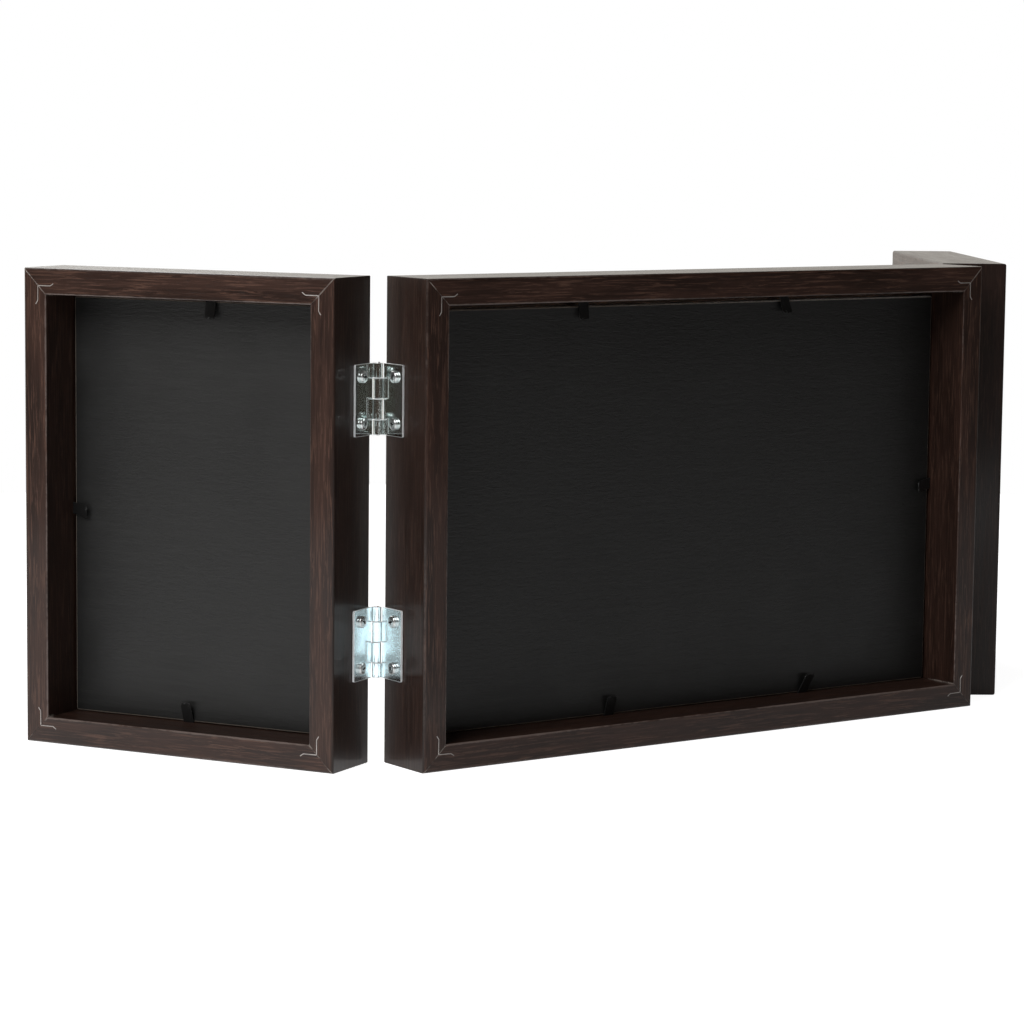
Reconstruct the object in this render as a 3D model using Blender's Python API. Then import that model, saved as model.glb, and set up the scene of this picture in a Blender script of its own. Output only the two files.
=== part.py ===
"""Trifold photo frame: three deep mitred box frames joined by four rolled-knuckle butt hinges.

The display side faces -Y and the back faces +Y. Left and right are as seen from the display side.
The origin is under the middle of the centre panel, on the surface that the frame stands on.
Lengths are in metres.
"""

from math import acos, cos, pi, radians, sin, tan

import bmesh
import bpy
from mathutils import Matrix, Vector

# Panels
PANEL_HEIGHT = 0.200
PANEL_DEPTH = 0.030
CENTRE_WIDTH = 0.300
CLOSED_WINGS_GAP = 0.002
WING_WIDTH = (CENTRE_WIDTH - CLOSED_WINGS_GAP) / 2

# Moulding that all the rails and stiles are cut from
WALL_THICKNESS = 0.0110
LIP_REACH = 0.0045
LIP_THICKNESS = 0.0045
OUTER_ARRIS_RADIUS = 0.0011
INNER_ARRIS_RADIUS = 0.0005
ARRIS_STEPS = 3
MITRE_SEAM = 0.00015

# Glass and backboard, stacked behind the lip
SEAT_GAP = 0.0003
GLASS_THICKNESS = 0.002
GLASS_EDGE_GAP = 0.0006
GLASS_EDGE_SEAM = 0.0003
PRINT_SPACE = 0.0006
BOARD_THICKNESS = 0.0025
BOARD_EDGE_GAP = 0.0008
CENTRE_BOARD_TOP_GAP = 0.0029
WING_BOARD_TOP_GAP = 0.0013

# Flex tabs that hold the backboard
TAB_WIDTH = 0.005
TAB_LENGTH = 0.0087
TAB_THICKNESS = 0.00045
TAB_CORNER_RADIUS = 0.0011
TAB_CORNER_STEPS = 3
TAB_WALL_GAP = 0.0003
TAB_BOARD_GAP = 0.0003

# Hinges
KNUCKLE_RADIUS = 0.0020
LEAF_THICKNESS = 0.0009
LEAF_SEAT_GAP = 0.0002
LEAF_REACH = 0.0165
LEAF_CORNER_RADIUS = 0.0006
LEAF_CORNER_STEPS = 2
HINGE_HEIGHT = 0.0293
END_KNUCKLE = 0.0060
KNUCKLE_GAP = 0.0003
NOTCH_CLEARANCE = 0.0005
ROLL_END_GAP = 0.00015
ROLL_STEPS = 18
PIN_CLEARANCE = 0.0001
PIN_END = 0.0004
PIN_SIDES = 20
PIN_DOME_STEPS = 2
PIN_SETBACK = 0.0021
HINGE_PLACE_SHARES = {"lower": 0.25, "upper": 0.75}
# Knuckles are numbered from the foot of the hinge up, from zero
CENTRE_LEAF_KNUCKLES = (0, 2)
WING_LEAF_KNUCKLES = (1, 3)

# Hinge screws
SCREW_HEAD_RADIUS = 0.0025
SCREW_HEAD_HEIGHT = 0.0015
SCREW_RIM_HEIGHT = 0.0003
SCREW_SEAT_GAP = 0.0002
SHANK_RADIUS = 0.0012
SHANK_LENGTH = 0.0085
SHANK_POINT = 0.0022
SHANK_CLEARANCE = 0.0002
SCREW_SIDES = 14
SCREW_DOME_STEPS = 3
SCREW_END_DISTANCE = 0.0051
SCREW_SETBACK = 0.0110
PILOT_SIDES = 12
PILOT_RUNOUT = 0.0005

# One overrun serves every cut
CUT_OVERRUN = 0.001

# How far each wing is folded forward from flat, in degrees
LEFT_FOLD = 57.0
RIGHT_FOLD = 62.0

# Where each flex tab sits: wall, place along it as a share of the panel, lift and lean in degrees.
# Places run from the left along the top and bottom, and from the foot up the sides.
CENTRE_TAB_SHARES = {
    "top_left": ("top", 0.332, 14.0, 6.0),
    "top_right": ("top", 0.694, 12.0, -5.0),
    "bottom_left": ("bottom", 0.281, 15.0, -18.0),
    "bottom_right": ("bottom", 0.640, 12.0, -3.0),
    "left": ("left", 0.505, 12.0, 8.0),
    "right": ("right", 0.500, 10.0, 0.0),
}
LEFT_WING_TAB_SHARES = {
    "top": ("top", 0.520, 10.0, 0.0),
    "bottom": ("bottom", 0.480, 12.0, 0.0),
    "outer": ("left", 0.495, 11.0, 0.0),
    "hinge_side": ("right", 0.500, 10.0, 0.0),
}
RIGHT_WING_TAB_SHARES = {
    "top": ("top", 0.467, 10.0, 2.0),
    "bottom": ("bottom", 0.540, 13.0, 3.0),
    "outer": ("right", 0.490, 14.0, -8.0),
    "hinge_side": ("left", 0.500, 10.0, 0.0),
}

# Sizes that follow from the ones above
BOARD_BACK = LIP_THICKNESS + SEAT_GAP + GLASS_THICKNESS + PRINT_SPACE + BOARD_THICKNESS
PIN_RADIUS = KNUCKLE_RADIUS - LEAF_THICKNESS - PIN_CLEARANCE
PIN_OFFSET = KNUCKLE_RADIUS + LEAF_SEAT_GAP
MIDDLE_KNUCKLE = (HINGE_HEIGHT - 2 * END_KNUCKLE - 3 * KNUCKLE_GAP) / 2
SCREW_SPACING = HINGE_HEIGHT - 2 * SCREW_END_DISTANCE
SHANK_HOLE_RADIUS = SHANK_RADIUS + SHANK_CLEARANCE
SHANK_IN_WOOD = SHANK_LENGTH - SCREW_SEAT_GAP - LEAF_THICKNESS - LEAF_SEAT_GAP

# Quarter turns, about the depth axis, that carry the foot of a panel to each of its walls
WALL_TURNS = {"bottom": 0.0, "right": -pi / 2, "top": pi, "left": pi / 2}


def clear_scene():
    """Removes every object that the file starts with."""
    for old in list(bpy.data.objects):
        bpy.data.objects.remove(old)


def make_material(name, colour, roughness, metallic=0.0, transmission=0.0):
    """Makes a Principled BSDF material."""
    material = bpy.data.materials.new(name)
    material.use_nodes = True
    shader = material.node_tree.nodes["Principled BSDF"]
    shader.inputs["Base Color"].default_value = (*colour, 1.0)
    shader.inputs["Roughness"].default_value = roughness
    shader.inputs["Metallic"].default_value = metallic
    shader.inputs["Transmission Weight"].default_value = transmission
    material.diffuse_color = (*colour, 1.0)
    return material


def make_empty(name, location, turn=0.0, parent=None):
    """Makes an empty that carries a group of pieces, turned about the vertical."""
    empty = bpy.data.objects.new(name, None)
    bpy.context.scene.collection.objects.link(empty)
    empty.location = location
    empty.rotation_euler = (0.0, 0.0, turn)
    empty.parent = parent
    return empty


def make_object(name, mesh, material, parent, placement):
    """Makes an object from a mesh, with its placement under its parent as a matrix."""
    piece = bpy.data.objects.new(name, mesh)
    bpy.context.scene.collection.objects.link(piece)
    if material is not None and not mesh.materials:
        mesh.materials.append(material)
    piece.parent = parent
    piece.matrix_local = placement
    return piece


def finish_mesh(name, shape, smooth_angle=None):
    """Turns a bmesh into a mesh with its faces pointing out, and shades round pieces smooth."""
    bmesh.ops.recalc_face_normals(shape, faces=shape.faces)
    mesh = bpy.data.meshes.new(name)
    shape.to_mesh(mesh)
    shape.free()
    if smooth_angle is not None:
        mesh.shade_smooth()
        mesh.set_sharp_from_angle(angle=radians(smooth_angle))
    return mesh


def loft(name, near_ring, far_ring, smooth_angle=None):
    """Joins two like rings of points with faces and closes both ends."""
    shape = bmesh.new()
    near = [shape.verts.new(point) for point in near_ring]
    far = [shape.verts.new(point) for point in far_ring]
    shape.faces.new(near)
    shape.faces.new(far)
    for index in range(len(near)):
        following = (index + 1) % len(near)
        shape.faces.new((near[index], near[following], far[following], far[index]))
    return finish_mesh(name, shape, smooth_angle)


def revolve(name, profile, sides, smooth_angle):
    """Turns a profile of (radius, height) points about Z. The first and last points lie on the axis."""
    shape = bmesh.new()
    first = shape.verts.new((0.0, 0.0, profile[0][1]))
    last = shape.verts.new((0.0, 0.0, profile[-1][1]))
    turns = [2 * pi * step / sides for step in range(sides)]
    rings = []
    for radius, height in profile[1:-1]:
        rings.append([shape.verts.new((radius * cos(turn), radius * sin(turn), height)) for turn in turns])
    for index in range(sides):
        following = (index + 1) % sides
        shape.faces.new((first, rings[0][following], rings[0][index]))
        shape.faces.new((last, rings[-1][index], rings[-1][following]))
        for lower, upper in zip(rings, rings[1:]):
            shape.faces.new((lower[index], lower[following], upper[following], upper[index]))
    return finish_mesh(name, shape, smooth_angle)


def arc_points(centre, radius, start, end, steps):
    """Points of an arc about a centre, from one angle to another, ends included."""
    points = []
    for step in range(steps + 1):
        angle = start + (end - start) * step / steps
        points.append((centre[0] + radius * cos(angle), centre[1] + radius * sin(angle)))
    return points


def box_mesh(name, low, high, chamfer=None):
    """Makes a box between two corners, with its edges chamfered if a width is given."""
    shape = bmesh.new()
    bmesh.ops.create_cube(shape, size=1.0)
    size = Vector(high) - Vector(low)
    middle = (Vector(high) + Vector(low)) / 2
    placement = Matrix.Translation(middle) @ Matrix.Diagonal((*size, 1.0))
    bmesh.ops.transform(shape, matrix=placement, verts=shape.verts)
    if chamfer is not None:
        bmesh.ops.bevel(shape, geom=shape.edges[:], offset=chamfer, segments=1, affect="EDGES")
    return finish_mesh(name, shape)


def cylinder_mesh(name, radius, height, sides):
    """Makes a cylinder that stands on the origin along Z."""
    ring = arc_points((0.0, 0.0), radius, 0.0, 2 * pi * (1 - 1 / sides), sides - 1)
    return loft(name, [(x, y, 0.0) for x, y in ring], [(x, y, height) for x, y in ring])


def cut_mesh(name, mesh, cutters, smooth_angle=None):
    """Cuts placed cutter meshes, given as (mesh, placement) pairs, out of a mesh."""
    unit = Matrix.Identity(4)
    body = make_object(name, mesh, None, None, unit)
    tools = []
    for number, (cutter_mesh, placement) in enumerate(cutters):
        tool = make_object(f"{name}_cutter_{number}", cutter_mesh, None, None, placement)
        tool.hide_render = True
        tool.display_type = "WIRE"
        modifier = body.modifiers.new(tool.name, "BOOLEAN")
        modifier.operation = "DIFFERENCE"
        modifier.solver = "EXACT"
        modifier.object = tool
        tools.append(tool)
    bpy.context.view_layer.update()
    evaluated = body.evaluated_get(bpy.context.evaluated_depsgraph_get())
    result = bpy.data.meshes.new_from_object(evaluated)
    result.name = name
    for used in (body, *tools):
        bpy.data.objects.remove(used)
    if smooth_angle is not None:
        result.shade_smooth()
        result.set_sharp_from_angle(angle=radians(smooth_angle))
    return result


def moulding_profile():
    """Cross-section of the moulding as (inward, backward) points: a wall with a lip along its front."""
    outer = OUTER_ARRIS_RADIUS
    inner = INNER_ARRIS_RADIUS
    lip_edge = WALL_THICKNESS + LIP_REACH
    points = arc_points((outer, outer), outer, 1.5 * pi, pi, ARRIS_STEPS)
    points += arc_points((outer, PANEL_DEPTH - outer), outer, pi, 0.5 * pi, ARRIS_STEPS)
    points += arc_points((WALL_THICKNESS - inner, PANEL_DEPTH - inner), inner, 0.5 * pi, 0.0, ARRIS_STEPS)
    points += [(WALL_THICKNESS, LIP_THICKNESS), (lip_edge, LIP_THICKNESS)]
    points += arc_points((lip_edge - inner, inner), inner, 0.0, -0.5 * pi, ARRIS_STEPS)
    return points


def member_mesh(name, length, pilot_places=()):
    """Makes a rail or stile along X, mitred at both ends, with pilot holes in its outer side.

    Its outer side lies on the XY plane, its front on the XZ plane, and it thickens towards +Z.
    """
    profile = moulding_profile()
    setback = MITRE_SEAM / 2
    near = [(inward + setback, backward, inward) for inward, backward in profile]
    far = [(length - inward - setback, backward, inward) for inward, backward in profile]
    mesh = loft(name, near, far, smooth_angle=40.0)
    if not pilot_places:
        return mesh
    depth = SHANK_IN_WOOD + PILOT_RUNOUT
    hole = cylinder_mesh(f"{name}_pilot", SHANK_HOLE_RADIUS, depth + CUT_OVERRUN, PILOT_SIDES)
    backward = SCREW_SETBACK - PIN_SETBACK
    cutters = [(hole, Matrix.Translation((place, backward, -CUT_OVERRUN))) for place in pilot_places]
    return cut_mesh(name, mesh, cutters, smooth_angle=40.0)


def wall_matrix(wall, width):
    """Placement, in a panel, of a frame whose X runs along a wall and whose Z points into the panel."""
    corners = {
        "bottom": (0.0, 0.0, 0.0),
        "right": (width, 0.0, 0.0),
        "top": (width, 0.0, PANEL_HEIGHT),
        "left": (0.0, 0.0, PANEL_HEIGHT),
    }
    return Matrix.Translation(corners[wall]) @ Matrix.Rotation(WALL_TURNS[wall], 4, "Y")


def screw_heights():
    """Heights of all the hinge screws above the foot of the frame."""
    heights = []
    for share in HINGE_PLACE_SHARES.values():
        heights += [share * PANEL_HEIGHT - SCREW_SPACING / 2, share * PANEL_HEIGHT + SCREW_SPACING / 2]
    return heights


def build_members(panel, width, hinged_walls, parent, material):
    """Builds the four mitred members of a panel. Members on hinged walls get pilot holes."""
    names = {"bottom": "bottom_rail", "right": "right_stile", "top": "top_rail", "left": "left_stile"}
    for wall, member in names.items():
        length = width if wall in ("bottom", "top") else PANEL_HEIGHT
        places = []
        if wall in hinged_walls:
            places = [length - height if wall == "left" else height for height in screw_heights()]
        name = f"{panel}_{member}"
        make_object(name, member_mesh(name, length, places), material, parent, wall_matrix(wall, width))


def build_glass(panel, width, parent, material):
    """Builds the pane that stands in the rabbet behind the lip."""
    inset = WALL_THICKNESS + GLASS_EDGE_GAP
    front = LIP_THICKNESS + SEAT_GAP
    low = (inset, front, WALL_THICKNESS + SEAT_GAP)
    high = (width - inset, front + GLASS_THICKNESS, PANEL_HEIGHT - inset)
    mesh = box_mesh(f"{panel}_glass", low, high, GLASS_EDGE_SEAM)
    make_object(f"{panel}_glass", mesh, material, parent, Matrix.Identity(4))


def build_board(panel, width, top_gap, parent, material):
    """Builds the backboard, which stands on the bottom rail and leaves a narrow gap along its top edge."""
    inset = WALL_THICKNESS + BOARD_EDGE_GAP
    low = (inset, BOARD_BACK - BOARD_THICKNESS, WALL_THICKNESS + SEAT_GAP)
    high = (width - inset, BOARD_BACK, PANEL_HEIGHT - WALL_THICKNESS - top_gap)
    mesh = box_mesh(f"{panel}_backboard", low, high)
    make_object(f"{panel}_backboard", mesh, material, parent, Matrix.Identity(4))


def tab_mesh(name, lean):
    """Makes a flex tab that stands along Z from its bending line on X, with its tip corners rounded.

    A lean shifts the tip sideways and keeps the root along the wall.
    """
    half = TAB_WIDTH / 2
    corner = TAB_CORNER_RADIUS
    tip = TAB_LENGTH - TAB_WALL_GAP
    outline = [(-half, 0.0), (half, 0.0)]
    outline += arc_points((half - corner, tip - corner), corner, 0.0, 0.5 * pi, TAB_CORNER_STEPS)
    outline += arc_points((corner - half, tip - corner), corner, 0.5 * pi, pi, TAB_CORNER_STEPS)
    slope = tan(radians(lean))
    front = [(across + slope * up, -TAB_THICKNESS / 2, up) for across, up in outline]
    back = [(across, TAB_THICKNESS / 2, up) for across, _, up in front]
    return loft(name, front, back)


def build_tabs(panel, width, shares, parent, material):
    """Builds the flex tabs of a panel, each with its origin on its bending line."""
    for place_name, (wall, share, lift, lean) in shares.items():
        length = width if wall in ("bottom", "top") else PANEL_HEIGHT
        along = length * (1 - share) if wall in ("top", "left") else length * share
        backward = BOARD_BACK + TAB_BOARD_GAP + TAB_THICKNESS / 2
        root = Matrix.Translation((along, backward, WALL_THICKNESS + TAB_WALL_GAP))
        placement = wall_matrix(wall, width) @ root @ Matrix.Rotation(-radians(lift), 4, "X")
        name = f"{panel}_{place_name}_tab"
        make_object(name, tab_mesh(name, lean), material, parent, placement)


def build_panel(panel, width, hinged_walls, board_top_gap, tab_shares, parent, materials):
    """Builds one whole panel under its parent, whose origin is the panel's lower front left corner."""
    build_members(panel, width, hinged_walls, parent, materials["wood"])
    build_glass(panel, width, parent, materials["glass"])
    build_board(panel, width, board_top_gap, parent, materials["board"])
    build_tabs(panel, width, tab_shares, parent, materials["tab"])


def knuckle_spans():
    """Lower and upper ends of the four knuckles, from the foot of the hinge up."""
    spans = []
    start = 0.0
    for length in (END_KNUCKLE, MIDDLE_KNUCKLE, MIDDLE_KNUCKLE, END_KNUCKLE):
        spans.append((start, start + length))
        start += length + KNUCKLE_GAP
    return spans


def leaf_profile(side):
    """Cross-section of a leaf: a flat plate along +Y whose end is rolled round the pin at the origin.

    The plate lies on the given side of the pin, +1 or -1 along X. Its outer face runs on into the roll, which
    goes round the pin and stops just short of the plate's inner face.
    """
    bore = KNUCKLE_RADIUS - LEAF_THICKNESS
    sweep = 2 * pi - acos((bore - ROLL_END_GAP) / KNUCKLE_RADIUS)
    points = arc_points((0.0, 0.0), KNUCKLE_RADIUS, 0.0, -sweep, ROLL_STEPS)
    points += arc_points((0.0, 0.0), bore, -sweep, 0.0, ROLL_STEPS)
    points += [(bore, LEAF_REACH), (KNUCKLE_RADIUS, LEAF_REACH)]
    return [(side * across, backward) for across, backward in points]


def leaf_blank(name, side):
    """Makes a leaf the full height of the hinge, rolled all along and with its two free corners rounded."""
    profile = leaf_profile(side)
    shape = bmesh.new()
    low = [shape.verts.new((across, backward, 0.0)) for across, backward in profile]
    high = [shape.verts.new((across, backward, HINGE_HEIGHT)) for across, backward in profile]
    corners = []
    for ring in (low, high):
        shape.faces.new(ring)
        corners.append(shape.edges.get((ring[-2], ring[-1])))
    for index in range(len(profile)):
        following = (index + 1) % len(profile)
        shape.faces.new((low[index], low[following], high[following], high[index]))
    bmesh.ops.bevel(shape, geom=corners, offset=LEAF_CORNER_RADIUS, segments=LEAF_CORNER_STEPS, profile=0.5,
                    affect="EDGES")
    return finish_mesh(name, shape)


def leaf_mesh(name, side, own_knuckles):
    """Makes a leaf with the numbered knuckles, notched for the other leaf's and drilled for its screws."""
    reach = KNUCKLE_RADIUS + CUT_OVERRUN
    notch_end = KNUCKLE_RADIUS + NOTCH_CLEARANCE
    spans = knuckle_spans()
    cutters = []
    for number, (low, high) in enumerate(spans):
        if number in own_knuckles:
            continue
        bottom = low - (CUT_OVERRUN if number == 0 else KNUCKLE_GAP)
        top = high + (CUT_OVERRUN if number == len(spans) - 1 else KNUCKLE_GAP)
        notch = box_mesh(f"{name}_notch", (-reach, -reach, bottom), (reach, notch_end, top))
        cutters.append((notch, Matrix.Identity(4)))
    hole = cylinder_mesh(f"{name}_hole", SHANK_HOLE_RADIUS, 2 * reach, PILOT_SIDES)
    across_leaf = Matrix.Rotation(pi / 2, 4, "Y")
    for offset in (-SCREW_SPACING / 2, SCREW_SPACING / 2):
        start = Matrix.Translation((-reach, SCREW_SETBACK, HINGE_HEIGHT / 2 + offset))
        cutters.append((hole, start @ across_leaf))
    return cut_mesh(name, leaf_blank(name, side), cutters, smooth_angle=35.0)


def dome_points(radius, base, rise, steps):
    """Profile of a dome from its rim to its crown on the axis, as (radius, height) points."""
    turns = [0.5 * pi * step / steps for step in range(steps)]
    return [(radius * cos(turn), base + rise * sin(turn)) for turn in turns] + [(0.0, base + rise)]


def pin_mesh():
    """Makes the hinge pin, whose domed ends stand just clear of the end knuckles."""
    foot = dome_points(PIN_RADIUS, 0.0, -PIN_END, PIN_DOME_STEPS)
    crown = dome_points(PIN_RADIUS, HINGE_HEIGHT, PIN_END, PIN_DOME_STEPS)
    return revolve("hinge_pin", foot[::-1] + crown, PIN_SIDES, smooth_angle=35.0)


def screw_mesh():
    """Makes a round-head screw along Z. The underside of its head is at the origin and its point is below."""
    shank = [(0.0, -SHANK_LENGTH), (SHANK_RADIUS, SHANK_POINT - SHANK_LENGTH), (SHANK_RADIUS, 0.0)]
    rim = [(SCREW_HEAD_RADIUS, 0.0)]
    rise = SCREW_HEAD_HEIGHT - SCREW_RIM_HEIGHT
    dome = dome_points(SCREW_HEAD_RADIUS, SCREW_RIM_HEIGHT, rise, SCREW_DOME_STEPS)
    return revolve("hinge_screw", shank + rim + dome, SCREW_SIDES, smooth_angle=50.0)


def build_leaf(name, mesh, side, foot, carrier, meshes, materials):
    """Builds one leaf and its two screws. The foot is the height of the hinge's lower end."""
    make_object(f"{name}_leaf", mesh, materials["leaf"], carrier, Matrix.Translation((0.0, 0.0, foot)))
    seat = side * (KNUCKLE_RADIUS - LEAF_THICKNESS - SCREW_SEAT_GAP)
    head_out = Matrix.Rotation(-side * pi / 2, 4, "Y")
    middle = foot + HINGE_HEIGHT / 2
    for end, height in (("lower", middle - SCREW_SPACING / 2), ("upper", middle + SCREW_SPACING / 2)):
        placement = Matrix.Translation((seat, SCREW_SETBACK, height)) @ head_out
        make_object(f"{name}_{end}_screw", meshes["screw"], materials["screw"], carrier, placement)


def build_hinges(wing_side, fixed_axis, wing_axis, meshes, materials):
    """Builds the two hinges of one wing. Pins and centre leaves stay with the centre panel."""
    outward = 1 if wing_side == "right" else -1
    for level, share in HINGE_PLACE_SHARES.items():
        name = f"{wing_side}_{level}_hinge"
        foot = share * PANEL_HEIGHT - HINGE_HEIGHT / 2
        centre_leaf = meshes["centre_leaf", -outward]
        wing_leaf = meshes["wing_leaf", outward]
        build_leaf(f"{name}_centre", centre_leaf, -outward, foot, fixed_axis, meshes, materials)
        build_leaf(f"{name}_wing", wing_leaf, outward, foot, wing_axis, meshes, materials)
        pin_place = Matrix.Translation((0.0, 0.0, foot))
        make_object(f"{name}_pin", meshes["pin"], materials["pin"], fixed_axis, pin_place)


def make_materials():
    """Makes the materials of the frame."""
    return {
        "wood": make_material("dark_wood", (0.028, 0.017, 0.014), 0.42),
        "glass": make_material("clear_glass", (0.9, 0.95, 0.93), 0.03, transmission=1.0),
        "board": make_material("black_board", (0.012, 0.012, 0.012), 0.7),
        "tab": make_material("blackened_tab", (0.008, 0.008, 0.008), 0.4, metallic=0.6),
        "leaf": make_material("zinc_plate", (0.75, 0.78, 0.8), 0.16, metallic=1.0),
        "pin": make_material("steel_pin", (0.62, 0.63, 0.64), 0.25, metallic=1.0),
        "screw": make_material("plated_screw", (0.7, 0.71, 0.72), 0.2, metallic=1.0),
    }


def main():
    """Builds the whole frame: the centre panel, the hinges and the two folded wings."""
    clear_scene()
    materials = make_materials()
    meshes = {"pin": pin_mesh(), "screw": screw_mesh()}
    for side in (-1, 1):
        meshes["centre_leaf", side] = leaf_mesh(f"centre_leaf_{side}", side, CENTRE_LEAF_KNUCKLES)
        meshes["wing_leaf", side] = leaf_mesh(f"wing_leaf_{side}", side, WING_LEAF_KNUCKLES)

    front = -PANEL_DEPTH / 2
    centre = make_empty("centre_panel", (-CENTRE_WIDTH / 2, front, 0.0))
    walls = ("left", "right")
    build_panel("centre", CENTRE_WIDTH, walls, CENTRE_BOARD_TOP_GAP, CENTRE_TAB_SHARES, centre, materials)

    wings = {
        "right": (1, -radians(RIGHT_FOLD), RIGHT_WING_TAB_SHARES, "left", PIN_OFFSET),
        "left": (-1, radians(LEFT_FOLD), LEFT_WING_TAB_SHARES, "right", -PIN_OFFSET - WING_WIDTH),
    }
    for wing_side, (outward, turn, tab_shares, hinged_wall, panel_start) in wings.items():
        axis_place = (outward * (CENTRE_WIDTH / 2 + PIN_OFFSET), front - PIN_SETBACK, 0.0)
        fixed_axis = make_empty(f"{wing_side}_hinge_axis", axis_place)
        wing_axis = make_empty(f"{wing_side}_wing_axis", axis_place, turn)
        wing = make_empty(f"{wing_side}_wing_panel", (panel_start, PIN_SETBACK, 0.0), parent=wing_axis)
        name = f"{wing_side}_wing"
        build_panel(name, WING_WIDTH, (hinged_wall,), WING_BOARD_TOP_GAP, tab_shares, wing, materials)
        build_hinges(wing_side, fixed_axis, wing_axis, meshes, materials)


if __name__ == "__main__":
    main()
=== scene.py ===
"""Looks of a trifold photo frame: wrapped wood moulding, black boards, glass, flex tabs and butt hinges.

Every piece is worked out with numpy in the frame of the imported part: metres, +Z up, display side facing -Y.
Left and right are as seen from the display side.
"""

import logging
from dataclasses import dataclass, field
from enum import Enum
from math import acos, cos, pi, radians, sin, sqrt, tan

import bpy
import numpy as np
from mathutils import Matrix, Vector


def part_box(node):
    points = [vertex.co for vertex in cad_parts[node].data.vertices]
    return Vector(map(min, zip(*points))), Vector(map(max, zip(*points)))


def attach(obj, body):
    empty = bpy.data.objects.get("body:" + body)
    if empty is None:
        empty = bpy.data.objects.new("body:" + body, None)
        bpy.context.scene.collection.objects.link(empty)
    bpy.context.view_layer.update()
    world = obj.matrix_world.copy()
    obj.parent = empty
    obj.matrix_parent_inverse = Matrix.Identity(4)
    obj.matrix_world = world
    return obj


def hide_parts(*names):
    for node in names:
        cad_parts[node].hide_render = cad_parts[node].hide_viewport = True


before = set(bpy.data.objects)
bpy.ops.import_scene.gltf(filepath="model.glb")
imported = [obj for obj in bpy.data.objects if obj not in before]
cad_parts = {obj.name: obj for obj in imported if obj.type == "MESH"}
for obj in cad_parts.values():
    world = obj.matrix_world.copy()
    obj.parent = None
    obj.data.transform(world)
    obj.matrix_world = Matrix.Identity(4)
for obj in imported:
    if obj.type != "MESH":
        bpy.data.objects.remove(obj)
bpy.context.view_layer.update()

MM = 0.001
LOG = logging.getLogger("trifold_frame")

Pair = tuple[float, float]
Triple = tuple[float, float, float]
Colour = Triple
Material = bpy.types.Material
Mesh = bpy.types.Mesh
Object = bpy.types.Object
Socket = bpy.types.NodeSocket


# Shapes


def arc(centre: Pair, radius: float, start: float, end: float, steps: int = 6) -> np.ndarray:
    """Points of a circle between two angles: centre + radius * (cos a, sin a).

    Args:
        centre: Middle of the circle.
        radius: Its radius.
        start: First angle, in radians.
        end: Last angle, in radians.
        steps: Number of equal steps between the two.

    Returns:
        Points, shape (steps + 1, 2).
    """
    angle = np.linspace(start, end, steps + 1)
    return np.array(centre) + radius * np.column_stack([np.cos(angle), np.sin(angle)])


def supported(outline: np.ndarray, margin: float) -> np.ndarray:
    """Adds a point close to each end of every long side, at end + margin * unit vector along the side.

    Args:
        outline: Closed outline, shape (n, 2).
        margin: Distance of the new points from the corners.

    Returns:
        The outline with the new points, in order.
    """
    following = np.roll(outline, -1, axis=0)
    length = np.linalg.norm(following - outline, axis=1, keepdims=True)
    unit = (following - outline) / length
    triples = np.stack([outline, outline + margin * unit, following - margin * unit], axis=1)
    keep = np.ones(triples.shape[:2], bool)
    keep[:, 1:] = length > 4 * margin
    return triples[keep]


def outline_normals(outline: np.ndarray) -> np.ndarray:
    """Unit normals of a closed outline that point into it: a quarter turn of the chord between neighbours.

    Args:
        outline: Closed outline, shape (n, 2).

    Returns:
        Normals, shape (n, 2).
    """
    following = np.roll(outline, -1, axis=0)
    chord = following - np.roll(outline, 1, axis=0)
    normal = np.column_stack([-chord[:, 1], chord[:, 0]])
    area = np.sum(outline[:, 0] * following[:, 1] - outline[:, 1] * following[:, 0])
    return np.sign(area) * normal / np.linalg.norm(normal, axis=1, keepdims=True)


def rectangle(low: Pair, high: Pair, radius: float, steps: int = 4) -> np.ndarray:
    """Outline of a rectangle whose corners are quarter circles.

    Args:
        low: Lower corner.
        high: Upper corner.
        radius: Radius of the corners.
        steps: Steps in each corner.

    Returns:
        Closed outline, shape (4 * (steps + 1), 2).
    """
    (left, foot), (right, top) = np.array(low) + radius, np.array(high) - radius
    corners = (((right, foot), -pi / 2), ((right, top), 0.0), ((left, top), pi / 2), ((left, foot), pi))
    return np.concatenate([arc(middle, radius, start, start + pi / 2, steps) for middle, start in corners])


def edge_rings(thickness: float, radius: float, steps: int = 3) -> tuple[np.ndarray, np.ndarray]:
    """Inset and height of the rings that round both edges of a flat piece: radius * (1 - sin a, 1 - cos a).

    Args:
        thickness: Thickness of the piece.
        radius: Radius of its edges.
        steps: Steps in each quarter circle.

    Returns:
        Insets and heights from the lower face, one for each ring.
    """
    angle = np.linspace(0.0, pi / 2, steps + 1)
    inset = radius * (1 - np.sin(angle))
    rise = radius * (1 - np.cos(angle))
    return np.concatenate([inset, inset[::-1]]), np.concatenate([rise, thickness - rise[::-1]])


def placed(points: np.ndarray, placement: Matrix) -> np.ndarray:
    """Points of any grid shape carried by a matrix: rotation part times the point, plus the translation."""
    carried = np.array(placement)
    return points @ carried[:3, :3].T + carried[:3, 3]


def faces_inwards(points: np.ndarray, quads: np.ndarray) -> bool:
    """Whether a closed surface holds a negative volume, the sum of a . (b x c) + a . (c x d) over its quads.

    Args:
        points: Points of the surface, shape (n, 3).
        quads: Point indices of its quads, shape (m, 4).

    Returns:
        True where the faces have to be turned round.
    """
    corners = points[quads] - points.mean(axis=0)
    a, b, c, d = (corners[:, index] for index in range(4))
    return np.sum(a * np.cross(b, c)) + np.sum(a * np.cross(c, d)) < 0


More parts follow.
